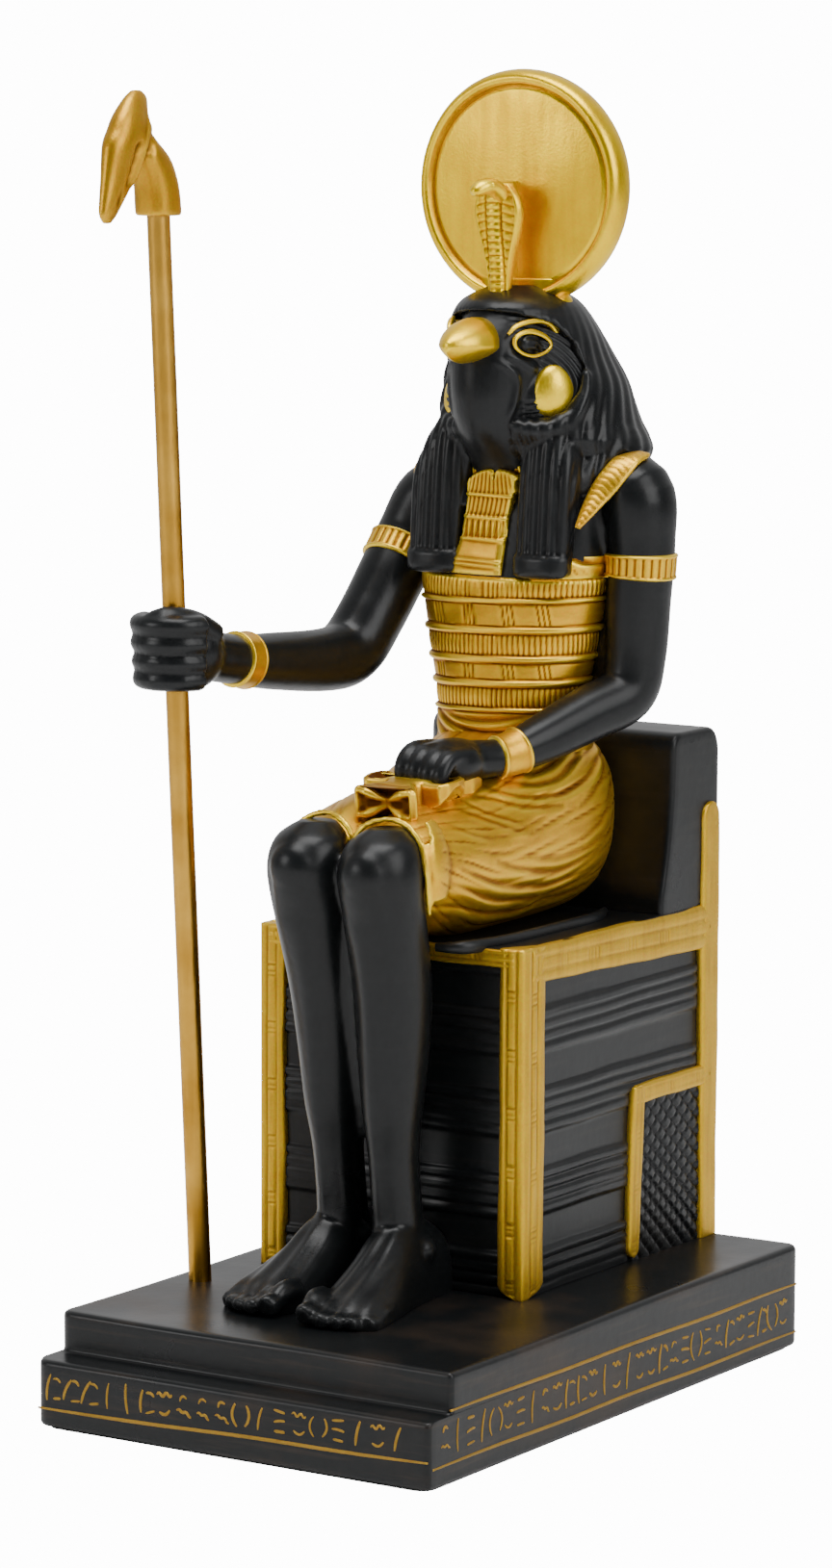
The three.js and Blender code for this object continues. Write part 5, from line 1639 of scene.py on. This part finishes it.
def arm_band(rows, start, end, grooved):
    """A sleeve over part of an arm, from one place in its list of rows to another. It swells at
    its two rims, and grooves run along it where it is grooved."""
    part = eased(rows, BAND_ROWS)[int(start * BAND_ROWS):int(end * BAND_ROWS) + 1].copy()
    part[:, 3] += BAND_PROUD
    share = np.linspace(-1, 1, len(part))
    part[:, 3] -= (BAND_PROUD + 0.4) * np.clip((np.abs(share) - 0.9) / 0.1, 0, 1) ** 2
    part[:, 3] += 0.18 * dent(np.abs(share) - 0.8, 0.08)
    fine = np.linspace(0, len(part) - 1, BAND_ROWS)
    part = np.stack([np.interp(fine, np.arange(len(part)), part[:, k]) for k in range(4)], 1)

    def grooves(way, turn):
        """Grooves along the sleeve, kept off its two rims."""
        inside = between(way / way.max(), 0.16, 0.84, 0.02)
        return -0.3 * inside * dent(np.sin(turn * BAND_GROOVES / 2), 0.4) * grooved

    return lofted(limb(part, BAND_SIDES, 1, 1.0, (1, 0, 0), grooves))


arm_gold = make_piece("armbands_and_bracelets", placed(joined([
    arm_band(LEFT_ARM, 2.16, 2.62, 1.0), arm_band(LEFT_ARM, 7.5, 8.25, 0.0),
    arm_band(RIGHT_ARM, 2.28, 2.86, 1.0), arm_band(RIGHT_ARM, 7.64, 8.05, 0.0),
])), cloth_gilding, reach=0.6)
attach(arm_gold, "root")
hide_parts("statue")

# Wig
# The striped wig of the casting with its two lappets on the chest, black like the skin. Its locks
# are soft grooves that sweep down from the crown, a thick roll edges it under the cheeks, and each
# lappet ends in a plain hem.

WIG_ROWS = [
    # height, x, y, half width, half depth
    (118.5, 0, 49.6, 12.6, 4.4), (125.5, 0, 48.6, 16.0, 6.4), (133.4, 0.7, 45.3, 18.6, 12.6),
    (137.2, 1.3, 43.8, 19.5, 16.2), (142, 2.2, 42.3, 16.3, 17.0), (148, 0.9, 41.1, 15.8, 17.2),
    (152.6, 0.3, 40.1, 14.0, 16.3), (157.4, 0, 38.9, 12.1, 14.4), (161.8, 0, 37.9, 9.2, 11.2),
    (164.4, 0, 37.8, 4.2, 5.0),
]
WIG_EDGE = [
    # height, how far back the opening's edge lies
    (139.6, 20), (140.4, 28), (142, 32.6), (145.6, 35.4), (150, 36.0), (155, 35.2), (158.4, 32.4),
    (159.8, 27.4), (160.4, 20),
]
WIG_WALL = 2.4
LAPPET_ROWS = [
    # height, x, y, half width, half depth
    (116.4, 10.2, 29.4, 4.9, 3.2), (124, 10.4, 30.0, 5.2, 3.2), (132, 10.6, 31.2, 5.6, 3.8),
    (138, 9.9, 33.2, 5.2, 5.0), (143, 8.2, 35.6, 4.4, 6.0),
]
SHOULDER_FALL = [
    # the locks between lappet and back, lying over the shoulder: x, y, z, radius
    (10.6, 31.0, 126, 4.0), (12.0, 32.6, 131, 4.8), (13.4, 36.0, 135, 5.2), (14.4, 40.0, 138, 5.4),
    (14.6, 44.0, 139, 5.0),
]
RUFF_EDGE = [
    # the roll under the face, from which the locks fall: x, y, z, radius
    (4.2, 26.8, 142.0, 1.2), (7.4, 28.2, 140.9, 1.9), (10.8, 30.2, 140.9, 2.05), (13.6, 33.0, 143.0, 1.95),
    (14.8, 35.2, 146.6, 1.6), (14.4, 36.2, 150.4, 1.1),
]
HEM_TOP = 119.8
LOCK_PITCH = 1.75
LOCK_DEPTH = 0.34
CAP_PITCH = 2.275
CAP_FOOT = 138.5
UNDER_CAP = (140.6, 1.8, 42.8, 16.9, 15.4)
RIGHT_FALL_SHIFT = (2.8, 0, 0)
RIGHT_ROLL_SHIFT = (3.0, 0, 0)
WIG_VOXEL = 0.46


def wig_cap_grid():
    """Level rings over the head, each a thick arc round the back: the outer ellipse runs from one
    edge of the face's opening to the other, and the wall's inner side runs back."""
    rows = eased(WIG_ROWS)
    rows = rows[rows[:, 0] > CAP_FOOT]
    z, aside, middle, a, b = rows.T[..., None]
    edge = np.interp(z, *np.array(WIG_EDGE, float).T)
    start = np.arcsin(np.clip((edge - middle) / b, -1, 0.6))
    t = np.linspace(0, 1, 60)[None]
    turn = start + (math.pi - 2 * start) * t
    outer = np.stack([a * np.cos(turn), middle + b * np.sin(turn)], -1)
    thin_a, thin_b = np.maximum(a - WIG_WALL, 0.5), np.maximum(b - WIG_WALL, 0.5)
    inner = np.stack([thin_a * np.cos(turn), middle + thin_b * np.sin(turn)], -1)[:, ::-1]
    flat = np.concatenate([outer, inner], 1)
    flat[..., 0] += aside
    return np.concatenate([flat, np.broadcast_to(z[..., None], flat.shape[:2] + (1,))], -1)


def wig_relief(points, normals):
    """Locks: upright grooves of one pitch on the lappets, with a plain hem, and on the cap grooves
    that start at the crown and lean back as they go down."""
    x, y, z = points.T
    front = soft_step(-normals[:, 1] - 0.1, 0.15) * soft_step(142 - z, 1.0) * soft_step(36 - y, 0.6)
    strand = to_line((np.abs(x) - 10.6) / LOCK_PITCH, LOCK_PITCH)
    lappet = 0.45 * soft_step(HEM_TOP - z, 0.15)
    lappet -= LOCK_DEPTH * dent(strand, 0.34) * soft_step(z - HEM_TOP, 0.15)
    turn = np.arctan2(np.abs(x), y - 34)
    groove = to_line((turn * 13.5 + 0.34 * (z - 140)) / CAP_PITCH, CAP_PITCH)
    outer = soft_step((np.abs(x) * np.abs(normals[:, 0]) + (y - 40) * normals[:, 1]) - 1, 2)
    cap = -LOCK_DEPTH * dent(groove, 0.7) * soft_step(z - 119, 1) * soft_step(156 - z, 4)
    return front * lappet + (1 - front) * cap * outer


def wig_forms():
    """The solid lower part and the cap, and on each side the lappet, the fall and the roll."""
    lower = [row for row in WIG_ROWS if row[0] < 141] + [UNDER_CAP]
    lappet = stack(LAPPET_ROWS, squareness=2.6)
    z = lappet[..., 2]
    right_lappet = lappet * MIRROR
    right_lappet[..., 0] += 0.9 * soft_step(z - 134, 3) - 0.5 * soft_step(126 - z, 3)
    fall = limb(SHOULDER_FALL, 28, 6, 0.62, (0.8, 0.5, 0.3))
    roll = limb(RUFF_EDGE, 20, 6)
    return [
        stack(lower), wig_cap_grid(), lappet, right_lappet,
        fall, fall * MIRROR + RIGHT_FALL_SHIFT, roll, roll * MIRROR + RIGHT_ROLL_SHIFT,
    ]


wig_skin = cast_skin(wig_forms(), WIG_VOXEL, smoothing=3)
wig_enamel = rubbed_black_enamel("satin_black_enamel_on_wig", "#26211c", 0.15)
wig = make_piece("wig", placed(carved(wig_skin, wig_relief)), wig_enamel)
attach(wig, "root")
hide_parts("statue")

# Falcon's head
# The black face: round cheeks, the falcon's mark under each eye, and rows of small feathers from
# the brow round the cheek to the ruff, all cut shallow in the casting.

HEAD_ROWS = [
    # height, x, y, half width, half depth
    (128, 0, 38.6, 7.8, 7.4), (134, 0, 37.6, 7.8, 8.8), (140, 0, 36.4, 8.0, 12.8), (145, 0, 36.0, 8.5, 13.8),
    (150, 0, 36.4, 9.1, 14.2), (155, 0, 37.8, 9.3, 14.9), (159.4, 0, 38.4, 8.5, 12.7),
    (161.2, 0, 38.2, 7.4, 11.3), (162.4, 0, 38.2, 5.0, 7.0),
]
FACE_UNDER = (1.0, 4.9)
EYE = np.array([7.1, 29.5, 155.0])
ROUND_CHEEK = (6.2, 35.8, 145.4, 5.2, 7.6, 7.6, 36)
MARK_LINES = [
    # height of the ridge, then places along it: y, z
    (0.55, [(23.6, 152.6), (26.4, 149.8), (26.6, 146.0), (26.0, 143.0)]),
    (0.45, [(25.0, 153.4), (28.6, 151.4), (29.8, 150.6)]),
]
HEAD_VOXEL = 0.36
FEATHER_PITCH = 1.0
FEATHER_DEPTH = 0.45
FEATHER_CENTRE = (27.5, 149.0)


def head_relief(points, normals):
    """Feathers as arcs of one spacing round a centre before the cheek, and the marks as ridges."""
    _, y, z = points.T
    side = soft_step(np.abs(normals[:, 0]) - 0.3, 0.15)
    radius = np.hypot((y - FEATHER_CENTRE[0]) * 0.9, z - FEATHER_CENTRE[1])
    arcs = -FEATHER_DEPTH * dent(to_line(radius / FEATHER_PITCH, FEATHER_PITCH), 0.28)
    where = soft_step(radius - 3.4, 0.3) * soft_step(17 - radius, 0.4)
    where *= soft_step(y - 28, 0.8) * soft_step(z - 139, 2)
    lift = side * arcs * where
    for height, line in MARK_LINES:
        distance, share = along_line(y, z, line)
        lift = lift + side * height * dent(distance, 0.55) * np.clip(4 * share * (1.15 - share), 0, 1)
    return lift


def head_forms():
    """The face, the back of the head inside the wig, and the round cheeks and the eyeballs."""
    back = [(z, x, y, a - FACE_UNDER[0], b - FACE_UNDER[1]) for z, x, y, a, b in WIG_ROWS if 130 < z < 162]
    cheek = ball(*ROUND_CHEEK)
    eyeball = ball(EYE[0] + 0.15, EYE[1], EYE[2], 1.5, 2.7, 1.8)
    return [stack(HEAD_ROWS), stack(back), cheek, cheek * MIRROR, eyeball, eyeball * MIRROR]


head_skin = cast_skin(head_forms(), HEAD_VOXEL, smoothing=2)
head = make_piece("head", placed(carved(head_skin, head_relief)), body_enamel, reach=0.8)
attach(head, "root")
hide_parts("statue")

# Beak, eye rings, brows and cheek spots
# The gold parts of the face, cast with it and painted brightest. The beak has a rounded upper side,
# a sharp ridge along each flank and a blunt point. A ring and a brow frame each eye, and an
# egg-shaped spot fills each cheek.

BEAK_ROWS = [
    # y, half width, underside, ridge height, top
    (26.4, 3.9, 151.8, 154.4, 159.2), (24.4, 4.4, 151.8, 154.5, 159.4), (22.2, 4.6, 151.9, 154.6, 159.3),
    (19.8, 4.2, 151.9, 154.8, 158.7), (17.6, 3.1, 152.3, 154.9, 157.6), (16.0, 1.8, 153.1, 154.9, 156.5),
    (15.1, 0.7, 154.0, 154.8, 155.6),
]
BROW_PATH = [
    # along the eye, up from its middle, radius
    (-4.8, 1.7, 0.3), (-3.4, 2.9, 0.5), (-1.0, 3.6, 0.55), (2.0, 3.7, 0.55), (4.2, 2.9, 0.55),
    (5.5, 1.3, 0.5), (5.8, 0.5, 0.3),
]
EYE_AHEAD = np.array([0.347, 0.938, 0.0])
EYE_OUT = np.array([0.938, -0.347, 0.0])
RING_MIDDLE = EYE + np.array([0.35, 0.1, 0])
RING_LIFT = 0.8
CHEEK = np.array([10.1, 32.3, 146.9])
RIGHT_CHEEK_SHIFT = (1.1, 0, -2.2)
SPOT_LEAN = math.radians(42)
BEAK_SIDES = 64
RING_STEPS = 72
RING_SIDES = 14


def beak_shell():
    """Upright sections from the face to the tip: above the ridges a section is nearly an ellipse,
    below them it is shallower and hollow."""
    y, a, low, ridge, top = eased(BEAK_ROWS, 6).T[..., None]
    turn = full_turn(BEAK_SIDES)
    up = np.sin(turn)
    x = a * power(np.cos(turn), np.where(up > 0, 1.05, 1.5))
    z = ridge + np.where(up > 0, (top - ridge) * up, (ridge - low) * power(up, 1.4))
    return lofted(np.stack([x, y + 0 * turn, z], -1))


def on_cheek(centre, u, v, lift):
    """Places beside an eye: u along it, v up and lift out from a gently bowed, leaning surface."""
    lean = np.array([-0.12, 0, 1.0])
    out = (lift - 0.02 * u ** 2)[..., None] * EYE_OUT
    return centre + u[..., None] * EYE_AHEAD + v[..., None] * lean + out


def face_ring(centre, half_length, half_height, thickness, lean):
    """An almond ring laid on the cheek: pointed superellipse path with a round section."""
    turn = full_turn(RING_STEPS)[:, None]
    around = full_turn(RING_SIDES)[None]
    along = half_length * power(np.cos(turn), 1.15)
    up = half_height * np.sin(turn) * (1 - 0.15 * np.cos(turn)) + lean * along
    radius = thickness * (1 + 0.25 * np.sin(turn))
    u = along + radius * np.cos(around) * np.cos(turn)
    v = up + radius * np.cos(around) * np.sin(turn)
    points = on_cheek(centre, u, v, radius * np.sin(around) * 0.8 + RING_LIFT)
    number = np.arange(RING_STEPS * RING_SIDES).reshape(RING_STEPS, RING_SIDES)
    beside, ahead = np.roll(number, -1, 1), np.roll(number, -1, 0)
    quads = np.stack([number, beside, np.roll(beside, -1, 0), ahead], -1)
    return points.reshape(-1, 3), quads.reshape(-1, 4), NO_TRIANGLES


def mirrored(shell):
    """The shell's mirror image on the other side of the face."""
    return shell[0] * MIRROR, shell[1][:, ::-1], shell[2][:, ::-1]


def brow_shell():
    """The brow's path laid on the cheek as a flattened cord."""
    along, up, radius = np.array(BROW_PATH).T
    places = on_cheek(RING_MIDDLE, along, up, np.full(len(along), RING_LIFT))
    return lofted(limb(np.column_stack([places, radius]), 16, 6, 0.8, EYE_OUT))


def egg_spot(centre, half_length, half_height, lean):
    """A low egg laid on the cheek: an ellipsoid turned by the lean, narrower towards its top."""
    x, y, z = ball(0, 0, 0, 2.0, half_length, half_height, 40).transpose(2, 0, 1)
    y = y * (1 - 0.13 * z / half_height)
    side = x * math.cos(lean) + y * math.sin(lean)
    ahead = y * math.cos(lean) - x * math.sin(lean)
    return lofted(np.stack([side, ahead, z], -1) + centre)


def face_gold_shell():
    """The beak, a spot on each cheek, and a ring and a brow on each side."""
    ring = face_ring(RING_MIDDLE, 3.8, 2.0, 0.38, -0.05)
    brow = brow_shell()
    left_spot = egg_spot(CHEEK, 3.7, 4.6, SPOT_LEAN)
    right_spot = egg_spot(CHEEK * MIRROR + RIGHT_CHEEK_SHIFT, 3.4, 4.4, -SPOT_LEAN)
    return joined([beak_shell(), left_spot, right_spot, ring, brow, mirrored(ring), mirrored(brow)])


face_gilding = antiqued_and_shaded_gold_paint(
    "bright_gold_paint_on_face", ("#7a4e08", "#c08c0c", "#ecc210", "#fad828"),
    (240.0, 240.0, 240.0), 0.9, 0.34)
face_gold = make_piece("beak_and_face_gold", placed(face_gold_shell()), face_gilding, reach=0.8)
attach(face_gold, "root")
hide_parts("statue")

# Sun disc
# A flat gold disc on the crown with a raised rim and a slightly domed face, part of the casting.
# The paint was brushed across it, so faint streaks run over the face.

DISC_PLACE = np.array([0.2, 38.9, 180.5])
DISC_RADIUS = 19.8
DISC_HALF = 2.9
DISC_RIM = 2.4
DISC_DISH = 1.1
DISC_SIDES = 150
LIP_ROWS = [
    # the low rest on the crown that the disc stands in: height, x, y, half width, half depth
    (160.4, 0, 38.6, 9.0, 4.6), (161.2, 0, 38.6, 9.3, 4.7), (162.0, 0, 38.7, 9.3, 4.2),
    (163.4, 0, 38.8, 8.4, 3.2), (165.4, 0, 38.8, 8.2, 2.8),
]


def disc_shell():
    """A profile of radius and depth turned about the fore-and-aft axis: a domed face, a groove, a
    half-round rim, and the same behind."""
    inner = DISC_RADIUS - DISC_RIM
    face = [(r, -DISC_HALF + DISC_DISH * (0.2 + 0.8 * (r / inner) ** 2))
            for r in np.linspace(0.6, inner - 0.7, 28)]
    step = [(inner - 0.45, -DISC_HALF + DISC_DISH + 0.22), (inner - 0.15, -DISC_HALF + DISC_DISH + 0.2),
            (inner + 0.1, -DISC_HALF + 0.45), (inner + 0.35, -DISC_HALF + 0.1)]
    turn = np.linspace(0, math.pi, 19)
    rim = [(DISC_RADIUS - 1.5 + 1.5 * math.sin(t), -DISC_HALF * math.cos(t)) for t in turn]
    front = face + step + [(inner + 0.7, -DISC_HALF)]
    profile = np.array(front + rim + [(r, -y) for r, y in reversed(front)])
    t = full_turn(DISC_SIDES)[None]
    r, y = profile[:, :1], profile[:, 1:]
    soft = 0.05 * np.sin(3 * t + 1) * (r / DISC_RADIUS)
    x, z = (r + soft) * np.cos(t), (r + soft) * np.sin(t)
    dimple = 0.05 * np.sin(x / 2.7 + 1) * np.sin(z / 3.3)
    return lofted(np.stack([x, y + 0 * t + dimple * (np.abs(y) > 1.5), z], -1) + DISC_PLACE)


disc_gilding = antiqued_and_shaded_gold_paint(
    "brushed_gold_paint_on_disc", ("#8a5a06", "#c48c06", "#ecc204", "#fcdc18"),
    (500.0, 90.0, 60.0), 0.94, 0.32)
disc_and_rest = joined([disc_shell(), lofted(stack(LIP_ROWS, squareness=2.4))])
disc = make_piece("sun_disc", placed(disc_and_rest), disc_gilding, reach=0.8)
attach(disc, "root")
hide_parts("statue")

# Cobra
# The small rearing snake on the disc's front: a flat hood with a belly of cross ribs, and a blunt
# head that juts forward over it. Carved in the casting and painted with the disc's gold.

HOOD_ROWS = [
    # height, half width, y of its face
    (160.6, 1.9, 30.4), (166, 2.2, 30.4), (170, 3.0, 30.4), (174, 4.2, 30.2), (177, 4.6, 30.0),
    (179.6, 3.8, 30.0), (181.6, 2.0, 30.4),
]
HOOD_BACK = 37.4
HOOD_THICKNESS = 2.6
BELLY_HALF = 1.35
RIB_PITCH = 1.1
WING_PITCH = 1.5
HOOD_SPAN = (160.6, 181.6)
HOOD_ROW = 0.2
HOOD_SIDES = 96
WEB_SIDES = 32
COBRA_PATH = [
    # neck and head: x, y, z, radius
    (0.9, 31.6, 178.4, 1.5), (0.7, 30.2, 179.9, 1.7), (0.2, 28.4, 180.9, 1.7), (-0.4, 26.6, 180.8, 1.6),
    (-0.9, 25.2, 180.1, 1.15), (-1.1, 24.7, 179.8, 0.6),
]


def hood_grid():
    """Level sections of a thin shield: power curves with a ribbed column down the front, grooves
    beside it, fine level cuts on the wings and a raised rim."""
    rows = eased(HOOD_ROWS, 12)
    z = np.arange(*HOOD_SPAN, HOOD_ROW)[:, None]
    a = np.interp(z, rows[:, 0], rows[:, 1])
    face = np.interp(z, rows[:, 0], rows[:, 2])
    turn = full_turn(HOOD_SIDES)[None]
    x = a * power(np.cos(turn), 0.9)
    half = HOOD_THICKNESS / 2
    up = power(np.sin(turn), 0.7)
    side = np.clip(np.abs(x) / a, 0, 1)
    off = x + 0.5 * soft_step(z - 170, 4)
    column = 0.5 * np.sqrt(np.clip(1 - (off / BELLY_HALF) ** 2, 0, 1))
    rib = np.abs(np.sin(math.pi * z / RIB_PITCH)) ** 0.6
    ribs = -0.28 * (1 - rib) * (np.abs(off) < BELLY_HALF)
    wing = to_line((z + 0.25 * np.abs(off)) / WING_PITCH, WING_PITCH)
    cuts = -0.2 * dent(wing, 0.2) * (np.abs(off) > BELLY_HALF + 0.2) * (side < 0.8)
    rim = 0.3 * dent(side - 0.86, 0.1) * soft_step(z - 168, 1.5)
    groove = -0.3 * dent(np.abs(off) - BELLY_HALF - 0.1, 0.2)
    lift = (column + ribs + cuts + rim + groove) * soft_step(-0.4 - up, 0.1)
    return np.stack([x, face + half + half * up - lift, z + 0 * x], -1)


def web_grid():
    """The narrow web behind the shield that ties it to the disc."""
    rows = eased(HOOD_ROWS, 4)
    turn = full_turn(WEB_SIDES)[None]
    z, a, face = rows.T[..., None]
    middle, half = (face + 1 + HOOD_BACK) / 2, (HOOD_BACK - face - 1) / 2
    out = 0.16 * a * power(np.cos(turn), 0.6)
    ahead = middle + half * power(np.sin(turn), 0.6)
    return np.stack([out, ahead, z + 0 * turn], -1)


def cobra_shell():
    """The hood, the web behind it, the head, and a small ball for each eye."""
    eyes = [ball(-0.1 + side * 1.35, 27.3, 181.2, 0.45, 0.55, 0.45, 12) for side in (-1, 1)]
    grids = [hood_grid(), web_grid(), limb(COBRA_PATH, 28, 6, 0.82), *eyes]
    return joined([lofted(grid) for grid in grids])


cobra = make_piece("cobra", placed(cobra_shell()), disc_gilding, reach=0.6)
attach(cobra, "root")
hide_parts("statue")

# Staff rod
# A length of drawn brass rod, gilt and lacquered. It stands in a socket in the plinth, runs up
# through the right fist and carries the staff's head.

STAFF_FOOT = np.array([-32.2, -20.6, 18.1])
ROD_RADIUS = 1.9
ROD_LENGTH = 190.0
ROD_SUNK = 5.0
ROD_SIDES = 44
SCRATCHES = (2600.0, 2600.0, 60.0)
ROD_AXIS = unit(sitter(np.array(RIGHT_GRIP)) - STAFF_FOOT)
ROD_BOTTOM = STAFF_FOOT - ROD_SUNK * ROD_AXIS
ROD_TOP = ROD_BOTTOM + ROD_LENGTH * ROD_AXIS


def rod_shell():
    """Circles along the axis, with a small chamfer at both ends and a hair of unevenness."""
    ends = np.array([0, 0.3, 0.5])
    way = np.concatenate([ends, np.linspace(2, ROD_LENGTH - 2, 90), ROD_LENGTH - ends[::-1]])
    radius = ROD_RADIUS - 0.25 * np.clip(1 - np.minimum(way, ROD_LENGTH - way) / 0.3, 0, 1)
    turn = full_turn(ROD_SIDES)
    across = unit(np.cross(ROD_AXIS, [0, 1, 0]))
    ahead = np.cross(ROD_AXIS, across)
    wear = 1 + 0.004 * np.sin(way[:, None] / 7 + 3 * turn)
    circle = across * np.cos(turn)[:, None] + ahead * np.sin(turn)[:, None]
    ring = radius[:, None, None] * wear[..., None] * circle
    return lofted(ROD_BOTTOM + way[:, None, None] * ROD_AXIS + ring)


def drawn_gilt_brass():
    """Drawn brass with a thin gilt lacquer: fine lines along the rod, and a few duller patches."""
    material, tree, place = new_material("drawn_gilt_brass")
    lines = add_node(tree, "ShaderNodeMapping", {"Vector": place, "Scale": SCRATCHES})
    scratch = add_node(tree, "ShaderNodeTexNoise", {"Vector": lines, "Scale": 1.0, "Detail": 3.0})
    cloud = add_node(tree, "ShaderNodeTexNoise", {"Vector": place, "Scale": 90.0, "Detail": 4.0})
    colour = add_node(tree, "ShaderNodeValToRGB", {"Fac": cloud}, [(0.3, "#a87824"), (0.7, "#cfa044")])
    shine = add_node(tree, "ShaderNodeMapRange", {
        "Value": scratch, "From Min": 0.3, "From Max": 0.7, "To Min": 0.28, "To Max": 0.42})
    grain = add_node(tree, "ShaderNodeBump", {"Height": scratch, "Strength": 0.15, "Distance": 0.0001})
    brass = add_node(tree, "ShaderNodeBsdfPrincipled", {
        "Base Color": colour, "Metallic": 1.0, "Roughness": shine, "Normal": grain})
    add_node(tree, "ShaderNodeOutputMaterial", {"Surface": brass})
    return material


gilt_brass = drawn_gilt_brass()
rod = make_piece("rod", rod_shell(), gilt_brass)
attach(rod, "root")
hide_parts("staff_rod")

# Staff head
# The beast's head on the staff's top, cast on its own, gilt and pushed over the rod: a collar and a
# neck that leans forward into a long narrow head, whose muzzle hangs down before it.

NECK_ROWS = [
    # up, forward, half width, half depth
    (0, 0, 3.2, 3.2), (0.7, 0, 3.5, 3.5), (5, 0.3, 3.4, 3.4), (9, 1.6, 2.9, 3.4), (12, 4.3, 2.3, 3.2),
    (14.5, 6.8, 2.0, 3.0),
]
BEAST_ROWS = [
    # up, forward, half width, half depth
    (-0.9, 14.2, 0.5, 0.8), (0.2, 13.9, 0.9, 1.8), (1.7, 13.2, 1.25, 2.4), (6.5, 10.6, 1.9, 3.9),
    (11.4, 8.4, 2.6, 5.0), (14, 7.0, 2.6, 4.8), (16.2, 6.7, 2.2, 3.6), (18.9, 5.2, 1.4, 2.5),
    (20.2, 4.8, 0.6, 1.0),
]
HEAD_SOCKET = 8.0
HEAD_FOOT = ROD_TOP - HEAD_SOCKET * ROD_AXIS
STAFF_SIDES = 40
STAFF_VOXEL = 0.27


def staff_grid(rows, squareness):
    """Level superellipses up the rod's axis, each pushed forward by its row."""
    level = stack([(up, 0, -forward, a, b) for up, forward, a, b in rows], STAFF_SIDES, squareness)
    return HEAD_FOOT + level[..., 2:] * ROD_AXIS + level * [1, 1, 0]


def staff_head_relief(points, normals):
    """Cut into both sides of the head: the long slot of the mouth, the eye's hollow behind it and
    a small nostril, with the cheek as a ridge between."""
    near = points - HEAD_FOOT
    up = near @ ROD_AXIS
    ahead = up * ROD_AXIS[1] - near[:, 1]
    side = soft_step(np.abs(normals[:, 0]) - 0.35, 0.15)
    slant = ahead - (13.1 - 0.32 * up)
    slot = -0.9 * dent(slant + 1.6, 0.8) * between(up, 5.2, 12.0, 0.4)
    eye = -0.8 * dent(slant + 5.0, 0.9) * dent(up - 11.0, 1.3)
    cheek = 0.4 * dent(slant + 3.4, 0.5) * between(up, 5, 16, 1.5)
    nostril = -0.3 * dent(slant - 0.2, 0.5) * dent(up - 3.2, 1.2)
    return side * (slot + eye + cheek + nostril)


staff_gilding = antiqued_and_shaded_gold_paint(
    "antiqued_gold_paint_on_staff", ("#4a2a04", "#845c10", "#bc8a18", "#d8aa2c"),
    (300.0, 300.0, 120.0), 0.85, 0.38)
beast_forms = [staff_grid(NECK_ROWS, 2.6), staff_grid(BEAST_ROWS, 2.3)]
beast_skin = cast_skin(beast_forms, STAFF_VOXEL, smoothing=1)
staff_top = make_piece("staff_top", carved(beast_skin, staff_head_relief), staff_gilding, reach=0.8)
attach(staff_top, "root")
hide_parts("staff_head")

# Felt pad
# Thin black felt glued under the plinth, die cut a little smaller than it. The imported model's own
# piece is kept, and only its finish is made here.


def pressed_black_felt():
    """Pressed wool felt: quite matt, with a fine tangle of fibres and a soft sheen of loose hairs."""
    material, tree, place = new_material("pressed_black_felt")
    fibre = add_node(tree, "ShaderNodeTexNoise", {
        "Vector": place, "Scale": 1500.0, "Detail": 6.0, "Distortion": 1.5})
    colour = add_node(tree, "ShaderNodeValToRGB", {"Fac": fibre}, [(0.3, "#0c0c0c"), (0.75, "#222222")])
    nap = add_node(tree, "ShaderNodeBump", {"Height": fibre, "Strength": 0.5, "Distance": 0.0002})
    felt = add_node(tree, "ShaderNodeBsdfPrincipled", {
        "Base Color": colour, "Roughness": 0.95, "Sheen Weight": 0.2, "Normal": nap})
    add_node(tree, "ShaderNodeOutputMaterial", {"Surface": felt})
    return material


felt_pad = bpy.data.objects["felt_pad"]
felt_pad.data.materials.clear()
felt_pad.data.materials.append(pressed_black_felt())
